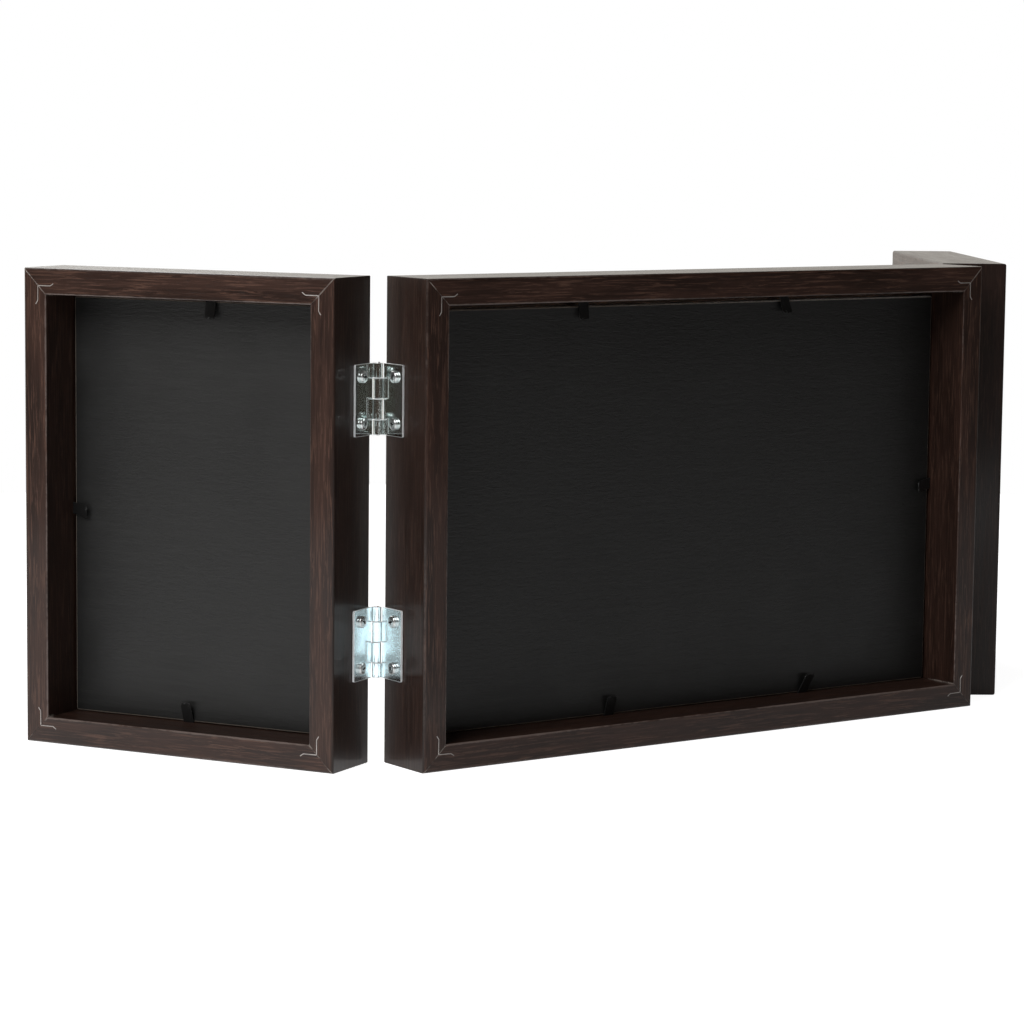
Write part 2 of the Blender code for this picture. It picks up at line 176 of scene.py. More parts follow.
def add_marks(mesh: Mesh, marks: dict[str, np.ndarray]) -> None:
    """Gives each point of a mesh the named numbers that its finish reads.

    Args:
        mesh: The mesh.
        marks: The numbers under their names, one for each point.
    """
    for name, values in marks.items():
        layer = mesh.attributes.new(name, "FLOAT", "POINT")
        layer.data.foreach_set("value", values.astype(np.float32).ravel())


@dataclass
class Skin:
    """A closed surface of rings of points, joined by quads and closed by a face at each end.

    Attributes:
        points: Grid of points, shape (rings, around, 3).
        uv: Pattern coordinates, shape (rings, around + 1, 2), where the last column closes the seam.
        marks: Named numbers for the finishes, each of a shape that spreads to (rings, around).
    """

    points: np.ndarray
    uv: np.ndarray | None = None
    marks: dict[str, np.ndarray] = field(default_factory=dict)

    def faces(self) -> tuple[np.ndarray, np.ndarray, np.ndarray]:
        """Quads and end faces as point indices, and the column of the pattern for each corner of the quads.

        Returns:
            Quads (n, 4), the two end faces (2, around), and the pattern index of each quad corner (n, 4).
        """
        rings, around = self.points.shape[:2]
        ring, step = (part.ravel() for part in np.indices((rings - 1, around)))
        near, far = ring * around, (ring + 1) * around
        following = (step + 1) % around
        quads = np.column_stack([near + step, near + following, far + following, far + step])
        near, far = ring * (around + 1), (ring + 1) * (around + 1)
        pattern = np.column_stack([near + step, near + step + 1, far + step + 1, far + step])
        first = np.arange(around)
        return quads, np.stack([first[::-1], (rings - 1) * around + first]), pattern

    def mesh(self, name: str) -> Mesh:
        """Makes the mesh, with its faces pointing out.

        Args:
            name: Name of the mesh.

        Returns:
            The mesh, with its pattern and marks.
        """
        shape = self.points.shape[:2]
        points = self.points.reshape(-1, 3)
        quads, ends, pattern = self.faces()
        if faces_inwards(points, quads):
            quads, ends, pattern = quads[:, ::-1], ends[:, ::-1], pattern[:, ::-1]
        mesh = bpy.data.meshes.new(name)
        mesh.from_pydata(points.tolist(), [], quads.tolist() + ends.tolist())
        if self.uv is not None:
            end_pattern = ends + ends // shape[1]
            loops = self.uv.reshape(-1, 2)[np.concatenate([pattern.ravel(), end_pattern.ravel()])]
            mesh.uv_layers.new(name="grain").data.foreach_set("uv", loops.astype(np.float32).ravel())
        add_marks(mesh, {mark: np.broadcast_to(values, shape) for mark, values in self.marks.items()})
        return mesh


def sheet_mesh(name: str, faces: list[np.ndarray], kept: np.ndarray, marks: dict[str, np.ndarray]) -> Mesh:
    """A bent sheet with cut-outs: two like grids of points, joined by walls wherever a kept cell meets none.

    Points on the border of the kept cells carry the mark "rim".

    Args:
        name: Name of the mesh.
        faces: Both faces of the sheet, each of shape (rows, columns, 3).
        kept: Which cells are there, shape (rows - 1, columns - 1).
        marks: Named numbers for the finish, each of shape (rows, columns).

    Returns:
        The closed mesh.
    """
    rows, columns = faces[0].shape[:2]
    index = np.arange(rows * columns).reshape(rows, columns)
    cell = np.stack([index[:-1, :-1], index[1:, :-1], index[1:, 1:], index[:-1, 1:]], axis=-1)[kept]
    quads = [cell, cell[:, ::-1] + index.size]
    padded = np.pad(kept, 1)
    # For each side of a cell: the roll that brings its neighbour there, and its corners as (row, column).
    sides = (
        (0, 1, (0, 0), (0, 1)),
        (0, -1, (1, 1), (1, 0)),
        (1, 1, (1, 0), (0, 0)),
        (1, -1, (0, 1), (1, 1)),
    )
    for axis, shift, near, far in sides:
        row, column = np.nonzero(kept & ~np.roll(padded, shift, axis=axis)[1:-1, 1:-1])
        first, second = index[row + near[0], column + near[1]], index[row + far[0], column + far[1]]
        quads.append(np.column_stack([first, second, second + index.size, first + index.size]))
    beside = padded[1:, 1:].astype(int) + padded[:-1, 1:] + padded[1:, :-1] + padded[:-1, :-1]
    marks = marks | {"rim": (beside < 4).astype(float)}
    used, order = np.unique(np.concatenate(quads), return_inverse=True)
    points, order = np.concatenate(faces).reshape(-1, 3)[used], order.reshape(-1, 4)
    if faces_inwards(points, order):
        order = order[:, ::-1]
    mesh = bpy.data.meshes.new(name)
    mesh.from_pydata(points.tolist(), [], order.tolist())
    add_marks(mesh, {mark: np.tile(values.ravel(), 2)[used] for mark, values in marks.items()})
    return mesh


def add_object(name: str, data: bpy.types.ID) -> Object:
    """Puts a new object into the scene.

    Args:
        name: Name of the object.
        data: Its mesh, light or camera.

    Returns:
        The object.
    """
    made = bpy.data.objects.new(name, data)
    bpy.context.scene.collection.objects.link(made)
    return made


def make_piece(mesh: Mesh, material: Material, body: str, sharp: float = 40.0) -> Object:
    """Puts a mesh into the scene as a piece that rides on a body.

    Args:
        mesh: The mesh, already in place.
        material: Its finish.
        body: Name of the body that carries it.
        sharp: Angle in degrees above which an edge stays sharp.

    Returns:
        The new object.
    """
    mesh.validate()
    mesh.shade_smooth()
    mesh.set_sharp_from_angle(angle=radians(sharp))
    mesh.materials.append(material)
    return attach(add_object(mesh.name, mesh), body)


def even_shading(piece: Object) -> None:
    """Weights the shading by face area, so that flat faces beside rounded edges shade flat."""
    weighted = piece.modifiers.new("even_shading", "WEIGHTED_NORMAL")
    weighted.keep_sharp = True


def broken_edges(piece: Object, width: float, angle: float = 50.0) -> None:
    """Rounds the sharp edges of a piece.

    Args:
        piece: The piece.
        width: Width of the rounding.
        angle: Angle in degrees from which an edge is rounded.
    """
    bevel = piece.modifiers.new("broken_edges", "BEVEL")
    bevel.width, bevel.segments = width, 2
    bevel.limit_method, bevel.angle_limit = "ANGLE", radians(angle)


def stand_in(piece: Object, node: str) -> None:
    """Lets a piece stand for a node of the part and logs how far the two boxes differ.

    Args:
        piece: The finished piece.
        node: The node that it replaces.
    """
    points = np.zeros(len(piece.data.vertices) * 3, np.float32)
    piece.data.vertices.foreach_get("co", points)
    points = points.reshape(-1, 3)
    gap = np.abs(np.array([points.min(axis=0), points.max(axis=0)]) - np.array(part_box(node))).max() / MM
    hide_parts(node)
    LOG.info("%s: %d faces, box within %.2f mm of the part's", piece.name, len(piece.data.polygons), gap)


# Finishes


class Graph:
    """The node tree of a finish or the world, with a short call for each kind of node that they use."""

    def __init__(self, owner: Material | bpy.types.World) -> None:
        """Takes up the tree of a new material or world.

        Args:
            owner: The material or world.
        """
        owner.use_nodes = True
        self.owner = owner
        self.tree = owner.node_tree

    def node(self, kind: str, fed: dict | None = None, **settings: object) -> bpy.types.Node:
        """Adds a node, sets its properties and feeds its inputs.

        Args:
            kind: Type of the node.
            fed: Sockets or values for its inputs, named or numbered.
            settings: Values of its properties.

        Returns:
            The node.
        """
        made = self.tree.nodes.new(kind)
        for key, value in settings.items():
            setattr(made, key, value)
        for key, value in (fed or {}).items():
            self.feed(made.inputs[key], value)
        return made

    def feed(self, socket: Socket, value: object) -> None:
        """Links a socket to another one, or sets its value.

        Args:
            socket: The input to feed.
            value: Another node's output, or a plain value.
        """
        if isinstance(value, Socket):
            self.tree.links.new(value, socket)
        else:
            socket.default_value = value

    def set(self, **values: object) -> None:
        """Sets or links sockets of the shader, named with underscores for spaces.

        Args:
            values: Sockets or values under the names of the shader's inputs.
        """
        shader = self.tree.nodes["Principled BSDF"]
        for key, value in values.items():
            self.feed(shader.inputs[key.replace("_", " ").title().replace("Ior", "IOR")], value)

    def grain(self) -> Socket:
        """The piece's own pattern coordinates, in metres."""
        return self.node("ShaderNodeUVMap", uv_map="grain").outputs["UV"]

    def place(self, kind: str = "Object") -> Socket:
        """Object coordinates, in metres, or another kind of coordinates."""
        return self.node("ShaderNodeTexCoord").outputs[kind]

    def axis(self, vector: Socket, name: str) -> Socket:
        """One of the three numbers of a vector, named X, Y or Z."""
        return self.node("ShaderNodeSeparateXYZ", {0: vector}).outputs[name]

    def ray(self, kind: str) -> Socket:
        """Whether the ray in hand is of a kind: Camera, Glossy or Transmission."""
        return self.node("ShaderNodeLightPath").outputs[f"Is {kind} Ray"]

    def mark(self, name: str) -> Socket:
        """A number that the piece's mesh carries."""
        return self.node("ShaderNodeAttribute", attribute_name=name).outputs["Fac"]

    def stretch(self, vector: Socket, scale: Triple, turn: float = 0.0) -> Socket:
        """Scales coordinates on each axis after a turn about Z, in radians."""
        fed = {"Vector": vector, "Rotation": (0.0, 0.0, turn), "Scale": scale}
        return self.node("ShaderNodeMapping", fed).outputs["Vector"]

    def noise(self, vector: Socket, scale: float = 1.0, detail: float = 3.0, roughness: float = 0.55,
              distortion: float = 0.0) -> Socket:
        """Fractal noise from 0 to 1 with a mean of about a half."""
        fed = {"Vector": vector, "Scale": scale, "Detail": detail, "Roughness": roughness}
        return self.node("ShaderNodeTexNoise", fed | {"Distortion": distortion}).outputs["Fac"]

    def span(self, value: Socket, low: float, high: float, start: float = 0.0, end: float = 1.0) -> Socket:
        """Maps low to start and high to end, smoothly and held outside.

        Args:
            value: The number to map.
            low: Its value at the start.
            high: Its value at the end.
            start: Result at the low value and below.
            end: Result at the high value and above.

        Returns:
            The mapped number.
        """
        fed = {"Value": value, "From Min": low, "From Max": high, "To Min": start, "To Max": end}
        made = self.node("ShaderNodeMapRange", fed, interpolation_type="SMOOTHSTEP", clamp=True)
        return made.outputs["Result"]

    def math(self, operation: str, *values: object) -> Socket:
        """One operation on two or three numbers."""
        return self.node("ShaderNodeMath", dict(enumerate(values)), operation=operation).outputs[0]

    def times(self, first: object, second: object) -> Socket:
        """Product of two numbers."""
        return self.math("MULTIPLY", first, second)

    def plus(self, first: object, second: object) -> Socket:
        """Sum of two numbers."""
        return self.math("ADD", first, second)

    def mix(self, factor: object, *colours: object) -> Socket:
        """Blends two colours, which go into the node's inputs 6 and 7.

        Args:
            factor: Share of the second colour.
            colours: The two colours, as sockets or plain colours.

        Returns:
            The blended colour.
        """
        first, second = ((*colour, 1.0) if isinstance(colour, tuple) else colour for colour in colours)
        made = self.node("ShaderNodeMix", {"Factor": factor, 6: first, 7: second}, data_type="RGBA")
        return made.outputs[2]

    def bump(self, height: Socket, distance: float, strength: float = 1.0) -> Socket:
        """Surface relief from a height of 0 to 1 times a distance in metres."""
        fed = {"Strength": strength, "Distance": distance, "Height": height}
        return self.node("ShaderNodeBump", fed).outputs["Normal"]


@dataclass(frozen=True)
class WrappedWood:
    """Dark open-grained moulding: slanted light streaks and pores along it, pale raw edges at the mitres.

    Each scale is the number of pattern cells per metre along the grain, across it, and one that isn't used.
    """

    dark: Colour = (0.021, 0.0100, 0.0070)
    middle: Colour = (0.043, 0.0200, 0.0138)
    light: Colour = (0.110, 0.057, 0.040)
    # painted shade: darker colour for the outer sides and inner walls, which fall out of the light
    sides: Colour = (0.014, 0.0070, 0.0050)
    raw: Colour = (0.31, 0.265, 0.235)
    wear_and_highlight: Colour = (0.17, 0.13, 0.115)
    pore_tone: float = 0.35
    streak_scale: Triple = (58.0, 1150.0, 1.0)
    pore_scale: Triple = (210.0, 3600.0, 1.0)
    band_scale: Triple = (15.0, 170.0, 1.0)
    patch_scale: Triple = (22.0, 60.0, 1.0)
    relief: float = 0.00004

    def material(self) -> Material:
        """Makes the material: bands under light streaks under pores, then the painted shade on the sides, and
        the arris wear with painted highlight lines.

        Returns:
            The material.
        """
        graph = Graph(bpy.data.materials.new("wrapped_wood"))
        grain = graph.grain()
        streaks = graph.noise(graph.stretch(grain, self.streak_scale, 0.055), detail=4.0, roughness=0.68,
                              distortion=0.6)
        fine = graph.noise(graph.stretch(grain, self.pore_scale, 0.04), roughness=0.6, distortion=0.3)
        bands = graph.noise(graph.stretch(grain, self.band_scale, 0.05), distortion=0.8)
        patches = graph.noise(graph.stretch(grain, self.patch_scale), detail=2.0)
        light_streaks = graph.times(graph.span(streaks, 0.49, 0.64), graph.span(patches, 0.30, 0.62, 0.35))
        pores = graph.span(fine, 0.40, 0.30)
        base = graph.mix(graph.span(bands, 0.33, 0.66), self.dark, self.middle)
        base = graph.mix(graph.times(light_streaks, 0.95), base, self.light)
        base = graph.mix(graph.times(pores, 0.75), base, tuple(self.pore_tone * part for part in self.dark))
        # painted shade on the outer sides and inner walls
        base = graph.mix(graph.times(graph.mark("side"), 0.65), base, self.sides)
        base = self.rubbed(graph, self.torn(graph, base))
        roughness = graph.plus(graph.span(bands, 0.25, 0.75, 0.36, 0.46), graph.times(pores, 0.2))
        relief = graph.math("SUBTRACT", graph.times(light_streaks, 0.5), pores)
        graph.set(base_color=base, roughness=roughness, specular_ior_level=0.2,
                  coat_weight=0.25, coat_roughness=0.12, normal=graph.bump(relief, self.relief, 0.6))
        return graph.owner

    def torn(self, graph: Graph, base: Socket) -> Socket:
        """The colour with pale raw fibre where the wrapping is torn at the mitres.

        Args:
            graph: Graph of the material.
            base: The colour so far.

        Returns:
            The colour.
        """
        flecks = graph.noise(graph.place(), scale=900.0)
        patches = graph.noise(graph.place(), scale=130.0, detail=2.0)
        raw = graph.times(graph.mark("raw"), graph.span(flecks, 0.30, 0.62, 0.45))
        raw = graph.times(raw, graph.span(patches, 0.38, 0.60, 0.35))
        return graph.mix(graph.span(raw, 0.12, 0.75), base, self.raw)

    def rubbed(self, graph: Graph, base: Socket) -> Socket:
        """The colour with the arrises lighter in places: rubbed wear, and painted highlight lines where light
        would catch the rounded arrises.

        Args:
            graph: Graph of the material.
            base: The colour so far.

        Returns:
            The colour.
        """
        scuffs = graph.noise(graph.place(), scale=260.0, detail=4.0, roughness=0.65)
        patches = graph.noise(graph.place(), scale=14.0, detail=1.0)
        # wear and painted highlight: pale lines along the arrises, partly rubbed wrapping and partly painted
        # light
        wear_and_highlight = graph.times(graph.mark("arris"), graph.span(scuffs, 0.36, 0.62, 0.6))
        wear_and_highlight = graph.times(wear_and_highlight, graph.span(patches, 0.38, 0.60, 0.5))
        return graph.mix(graph.span(wear_and_highlight, 0.25, 0.9, 0.0, 0.9), base, self.wear_and_highlight)


@dataclass(frozen=True)
class BlackBoard:
    """Black-faced fibre board with a faint embossed grain and streaks, and brown fibre on its cut edges."""

    face: Colour = (0.0080, 0.0080, 0.0077)
    pale: Colour = (0.0135, 0.0135, 0.0130)
    fibre: Colour = (0.26, 0.22, 0.185)
    pale_wear_and_highlight: Colour = (0.90, 0.86, 0.82)
    streak_scale: Triple = (26.0, 420.0, 1.0)
    emboss_scale: Triple = (170.0, 820.0, 1.0)
    relief: float = 0.00003

    def material(self) -> Material:
        """Makes the material.

        Returns:
            The material.
        """
        graph = Graph(bpy.data.materials.new("black_board"))
        grain = graph.grain()
        streaks = graph.noise(graph.stretch(grain, self.streak_scale), detail=4.0, roughness=0.6)
        clouds = graph.noise(grain, scale=28.0)
        grit = graph.noise(graph.place(), scale=2600.0, detail=2.0)
        emboss = graph.noise(graph.stretch(grain, self.emboss_scale, 0.05), detail=4.0, roughness=0.6,
                             distortion=0.8)
        streaked = graph.times(graph.span(streaks, 0.4, 0.7), graph.span(clouds, 0.35, 0.7))
        edge = graph.times(graph.mark("edge"), graph.span(grit, 0.3, 0.65, 0.7))
        base = graph.mix(streaked, self.face, self.pale)
        base = graph.mix(graph.span(edge, 0.2, 0.7), base, self.fibre)
        # painted highlight: a near-white line along the top edge near one end of the board
        base = graph.mix(graph.span(edge, 1.0, 1.7), base, self.pale_wear_and_highlight)
        relief = graph.plus(graph.times(grit, 0.6), graph.math("MULTIPLY_ADD", emboss, 9.0, streaks))
        roughness = graph.span(clouds, 0.3, 0.7, 0.44, 0.54)
        graph.set(base_color=base, roughness=roughness, specular_ior_level=0.4,
                  normal=graph.bump(relief, self.relief, 0.45))
        return graph.owner


@dataclass(frozen=True)
class BlankPaper:
    """Plain warm-white paper with faint fibres."""

    sheet: Colour = (0.80, 0.785, 0.75)
    fibre: Colour = (0.72, 0.70, 0.665)
    relief: float = 0.00003

    def material(self) -> Material:
        """Makes the material.

        Returns:
            The material.
        """
        graph = Graph(bpy.data.materials.new("blank_paper"))
        fibres = graph.noise(graph.place(), scale=1500.0, detail=5.0, roughness=0.7)
        clouds = graph.noise(graph.place(), scale=60.0, detail=2.0)
        base = graph.mix(graph.times(fibres, clouds), self.sheet, self.fibre)
        graph.set(base_color=base, roughness=graph.span(clouds, 0.3, 0.7, 0.78, 0.86),
                  normal=graph.bump(fibres, self.relief, 0.4))
        return graph.owner


@dataclass(frozen=True)
class ClearGlass:
    """Float glass with a faint green body and a few smudges."""

    tint: Colour = (0.980, 0.993, 0.986)
    smudge: Colour = (0.955, 0.975, 0.965)

    def material(self) -> Material:
        """Makes the material.

        Returns:
            The material.
        """
        graph = Graph(bpy.data.materials.new("clear_glass"))
        smudges = graph.noise(graph.place(), scale=34.0, detail=5.0, roughness=0.6)
        base = graph.mix(graph.span(smudges, 0.3, 0.8, 0.0, 0.3), self.tint, self.smudge)
        graph.set(base_color=base, roughness=graph.span(smudges, 0.5, 0.8, 0.0, 0.06),
                  transmission_weight=1.0, ior=1.5)
        return graph.owner


@dataclass(frozen=True)
class BrightMetal:
    """Plated or drawn metal with faint cloudiness, fine scratches along it, a brighter rim that is a painted
    highlight, and painted shade in marked recesses.
    """

    name: str
    colour: Colour
    dull: Colour
    roughness: Pair
    relief: float = 0.000004
    wave: float = 45.0
    # painted shade: near-black colour laid into recesses such as the screw's cross
    recess_shade: Colour = (0.020, 0.020, 0.021)
    # painted highlight: paler colour for the rims of the leaves
    rim: Colour = (0.93, 0.95, 0.96)
    scratch_scale: Triple = (2600.0, 2600.0, 210.0)

    def material(self) -> Material:
        """Makes the material.

        Returns:
            The material.
        """
        graph = Graph(bpy.data.materials.new(self.name))
        place = graph.place()
        clouds = graph.noise(place, scale=320.0, detail=4.0, roughness=0.6)
        scratches = graph.noise(graph.stretch(place, self.scratch_scale), roughness=0.65)
        waves = graph.noise(place, scale=self.wave, detail=1.0)
        cloudy = graph.plus(graph.times(clouds, 0.6), graph.times(scratches, 0.4))
        rim = graph.span(graph.mark("rim"), 0.2, 0.7)
        base = graph.mix(graph.span(cloudy, 0.45, 0.75), self.colour, self.dull)
        # painted shade: the screw's cross recess is blended towards near black
        base = graph.mix(graph.span(graph.mark("recess_shade"), 0.1, 0.8, 0.0, 0.92), base, self.recess_shade)
        # painted highlight: the leaves' rims are blended paler, as if catching the light
        base = graph.mix(rim, base, self.rim)
        roughness = graph.plus(graph.span(cloudy, 0.35, 0.7, *self.roughness), graph.times(rim, 0.55))
        grooves = graph.times(scratches, graph.math("MULTIPLY_ADD", graph.mark("roll"), 9.0, 0.06))
        graph.set(base_color=base, metallic=1.0, roughness=roughness,
                  normal=graph.bump(graph.plus(waves, grooves), self.relief))
        return graph.owner


@dataclass(frozen=True)
class BlackenedSteel:
    """Blackened spring steel, paler towards the tip and along the side edges: rubbed wear and a painted
    highlight.
    """

    black: Colour = (0.015, 0.015, 0.015)
    pale_wear_and_highlight: Colour = (0.18, 0.18, 0.18)
    relief: float = 0.000012

    def material(self) -> Material:
        """Makes the material.

        Returns:
            The material.
        """
        graph = Graph(bpy.data.materials.new("blackened_steel"))
        rub = graph.noise(graph.place(), scale=900.0, detail=4.0, roughness=0.65)
        # wear and painted highlight: the tip and side edges are blended to a paler grey
        wear_and_highlight = graph.times(graph.mark("tip"), graph.span(rub, 0.45, 0.68))
        base = graph.mix(graph.span(wear_and_highlight, 0.3, 0.9), self.black, self.pale_wear_and_highlight)
        graph.set(base_color=base, metallic=0.4, roughness=graph.span(rub, 0.3, 0.7, 0.30, 0.48),
                  normal=graph.bump(rub, self.relief, 0.5))
        return graph.owner


# Panels


class Wall(Enum):
    """A wall of a panel: the turn that carries the panel's foot to it, its member's name and the weight of
    its arrises' wear and painted highlight.
    """

    BOTTOM = (0.0, "bottom_rail", 1.2)
    RIGHT = (-pi / 2, "right_stile", 0.85)
    TOP = (pi, "top_rail", 1.0)
    LEFT = (pi / 2, "left_stile", 0.6)

    def __init__(self, turn: float, member: str, wear_and_highlight_weight: float) -> None:
        """Names the three values."""
        self.turn, self.member, self.wear_and_highlight_weight = turn, member, wear_and_highlight_weight


@dataclass(frozen=True)
class Moulding:
    """Sizes of the moulding that all rails and stiles are cut from, and the shape of one cut length.

    The arrises are listed as outer front, outer back, inner back and lip. The mitre rings are distances from
    a mitre in millimetres, and the straight rings lie evenly between the last ones of both ends. The raw
    sizes are the width of the pale fibre along a mitre, what the inner corner adds to it and how near, and
    how far from the back it is palest.
    """

    height: float = 0.200
    depth: float = 0.030
    wall: float = 0.011
    lip_reach: float = 0.0045
    lip_thickness: float = 0.0045
    outer_radius: float = 0.0011
    inner_radius: float = 0.0005
    lip_radius: float = 0.0002
    support: float = 0.0004
    seam: float = 0.00015
    mitre_radius: float = 0.00010
    mitre_rings: tuple[float, ...] = (0.0, 0.03, 0.065, 0.10, 0.20, 0.32, 0.6, 1.2, 3.0)
    straight_rings: int = 26
    arris_reach: tuple[float, ...] = (0.0016, 0.0016, 0.0008, 0.0008)
    arris_wear_and_highlight: tuple[float, ...] = (0.4, 0.6, 1.3, 0.5)
    inner_side_shade: float = 0.7
    raw_width: float = 0.00021
    raw_corner: float = 0.00030
    raw_corner_reach: float = 0.0009
    raw_depth: float = 0.0012
    raw_ahead: float = 0.35

    def profile(self) -> np.ndarray:
        """Cross-section as (inward, backward) points: a wall with a lip along its front, its arrises round.

        Returns:
            Closed outline, shape (around, 2).
        """
        outer, inner, edge = self.outer_radius, self.inner_radius, self.lip_radius
        lip = self.wall + self.lip_reach
        return supported(np.concatenate([
            arc((outer, outer), outer, 1.5 * pi, pi),
            arc((outer, self.depth - outer), outer, pi, 0.5 * pi),
            arc((self.wall - inner, self.depth - inner), inner, 0.5 * pi, 0.0),
            [(self.wall, self.lip_thickness)],
            arc((lip - edge, self.lip_thickness - edge), edge, 0.5 * pi, 0.0, 3),
            arc((lip - inner, inner), inner, 0.0, -0.5 * pi),
        ]), self.support)

    def arris_mark(self, profile: np.ndarray) -> np.ndarray:
        """How much wear and painted highlight each point gets: an arris's weight * (1.25 - distance to it /
        reach, held within 0 to 1).

        Args:
            profile: Cross-section, shape (around, 2).

        Returns:
            Marks, shape (around,).
        """
        lip = self.wall + self.lip_reach
        corners = np.array([(0.0, 0.0), (0.0, self.depth), (self.wall, self.depth), (lip, 0.0)])
        apart = np.linalg.norm(profile[:, None, :] - corners[None], axis=2)
        return (np.array(self.arris_wear_and_highlight) * np.clip(1.25 - apart / self.arris_reach, 0.0, 1.0)).max(axis=1)

    def side_mark(self, profile: np.ndarray) -> np.ndarray:
        """How much painted shade darkens each point below the front: 1 on the outer side, less on the inner
        wall.

        Args:
            profile: Cross-section, shape (around, 2).

        Returns:
            Marks, shape (around,).
        """
        inward, backward = profile.T
        outer = inward < self.support
        inner = (np.abs(inward - self.wall) < self.lip_radius) & (backward < self.depth - self.inner_radius)
        return outer + self.inner_side_shade * inner

    def raw_mark(self, profile: np.ndarray, backward: np.ndarray, apart: np.ndarray) -> np.ndarray:
        """How raw each point is near a mitre: the root of 1 - distance / width, less on all but the back.

        Args:
            profile: Cross-section, shape (around, 2). The width grows as a bell curve at its inner wall.
            backward: Distance of each point from the front, shape (rings, around).
            apart: Distance of each ring from its mitre along the member, shape (rings,).

        Returns:
            Marks, shape (rings, around).
        """
        bell = np.exp(-((profile[:, 0] - self.wall) / self.raw_corner_reach) ** 2)
        width = self.raw_width + self.raw_corner * bell
        back = np.where(backward > self.depth - self.raw_depth, 1.0, self.raw_ahead)
        return np.clip(1 - apart[:, None] / sqrt(2) / width, 0.0, 1.0) ** 0.5 * back

    def member(self, length: float, start: float) -> Skin:
        """A length of moulding along X, mitred at both ends at 45 degrees.

        A point of the profile runs from x = inward + distance near the first mitre to x = length - inward
        - distance near the second. There the profile is drawn in along its normals by a quarter circle.

        Args:
            length: Length along the outer side.
            start: Where the pattern starts along the grain, in metres.

        Returns:
            The closed skin, with outer side on z = 0 and front on y = 0.
        """
        profile = self.profile()
        near = np.array(self.mitre_rings[:-1]) * MM
        middle = np.full(self.straight_rings, self.mitre_rings[-1] * MM)
        apart = np.concatenate([near, middle, near[::-1]])
        share = np.concatenate([np.zeros(len(near)), np.linspace(0.0, 1.0, len(middle)), np.ones(len(near))])
        edge = np.clip(1 - apart / self.mitre_radius, 0.0, 1.0)
        drawn = self.mitre_radius * (1 - np.sqrt(1 - edge**2))
        section = profile[None] + drawn[:, None, None] * outline_normals(profile)[None]
        inward, backward = section[..., 0], section[..., 1]
        first = inward + self.seam / 2 + apart[:, None]
        last = length - inward - self.seam / 2 - apart[:, None]
        along = first + (last - first) * share[:, None]
        steps = np.linalg.norm(np.roll(profile, -1, axis=0) - profile, axis=1)
        around = np.concatenate([[0.0], np.cumsum(steps)])
        grain = start + np.concatenate([along, along[:, :1]], axis=1)
        uv = np.stack([grain, np.broadcast_to(around, grain.shape)], axis=-1)
        return Skin(np.stack([along, backward, inward], axis=-1), uv, {
            "raw": self.raw_mark(profile, backward, apart),
            "arris": self.arris_mark(profile)[None],
            "side": self.side_mark(profile)[None],
        })


@dataclass(frozen=True)
class FlexTab:
    """A flex tab: its wall, place along it as a share, lift and lean in degrees, and its blade's sizes."""

    name: str
    wall: Wall
    share: float
    lift: float
    lean: float
    width: float = 0.005
    length: float = 0.0087
    thickness: float = 0.00045
    corner: float = 0.0011
    gap: float = 0.0003
    root: float = 0.00028
    curl: float = 0.00022
    curl_back: float = 0.00006
    side_draw: float = 0.00012

    def skin(self) -> Skin:
        """A blade that stands along Z from its bending line on X, with rounded corners and a slight curl.

        Its half width is constant up to the corners and then follows a quarter circle. Its edges are half
        rounds of the blade's thickness, and its curl grows with the square of the height.

        Returns:
            The closed skin, marked by how near each point is to the tip or a side edge.
        """
        tip, half = self.length - self.gap, self.width / 2
        angle = np.linspace(0.0, 0.5 * pi, 9)[:-1]
        straight = np.linspace(-self.root, tip - self.corner, 12)[:-1]
        rounded = tip - self.corner + self.corner * np.sin(angle)
        narrowed = half - self.corner + self.corner * np.cos(angle)
        up = np.concatenate([straight, rounded, [tip]])[:, None]
        spread = np.concatenate([np.full(len(straight), half), narrowed, [half - self.corner]])[:, None]
        section = supported(rectangle((-1.0, -1.0), (1.0, 1.0), 0.5, 3), 0.05)
        sideways, sign = section[:, 0], np.sign(section[:, 0])
        drawn = self.side_draw * (1 - np.clip((np.abs(sideways) - 0.5) / 0.5, 0.0, 1.0))
        across = np.where(np.abs(sideways) > 0.49, sign * (spread - drawn), sideways * spread)
        bend = self.curl * (np.clip(up, 0.0, None) / tip) ** 2 - self.curl_back
        thinned = self.thickness / 2 * np.where(up > tip - 0.01 * MM, 0.55, 1.0)
        points = np.stack([
            across + tan(radians(self.lean)) * up,
            section[:, 1] * thinned + bend,
            np.broadcast_to(up, across.shape),
        ], axis=-1)
        height_mark = 0.8 * np.clip((up - 0.6 * tip) / (0.4 * tip), 0.0, 1.0)
        # painted highlight: the side edges are marked to show a pale outline
        side_mark = 0.75 * (np.abs(sideways) > 0.8)
        return Skin(points, marks={"tip": np.maximum(height_mark, side_mark)})


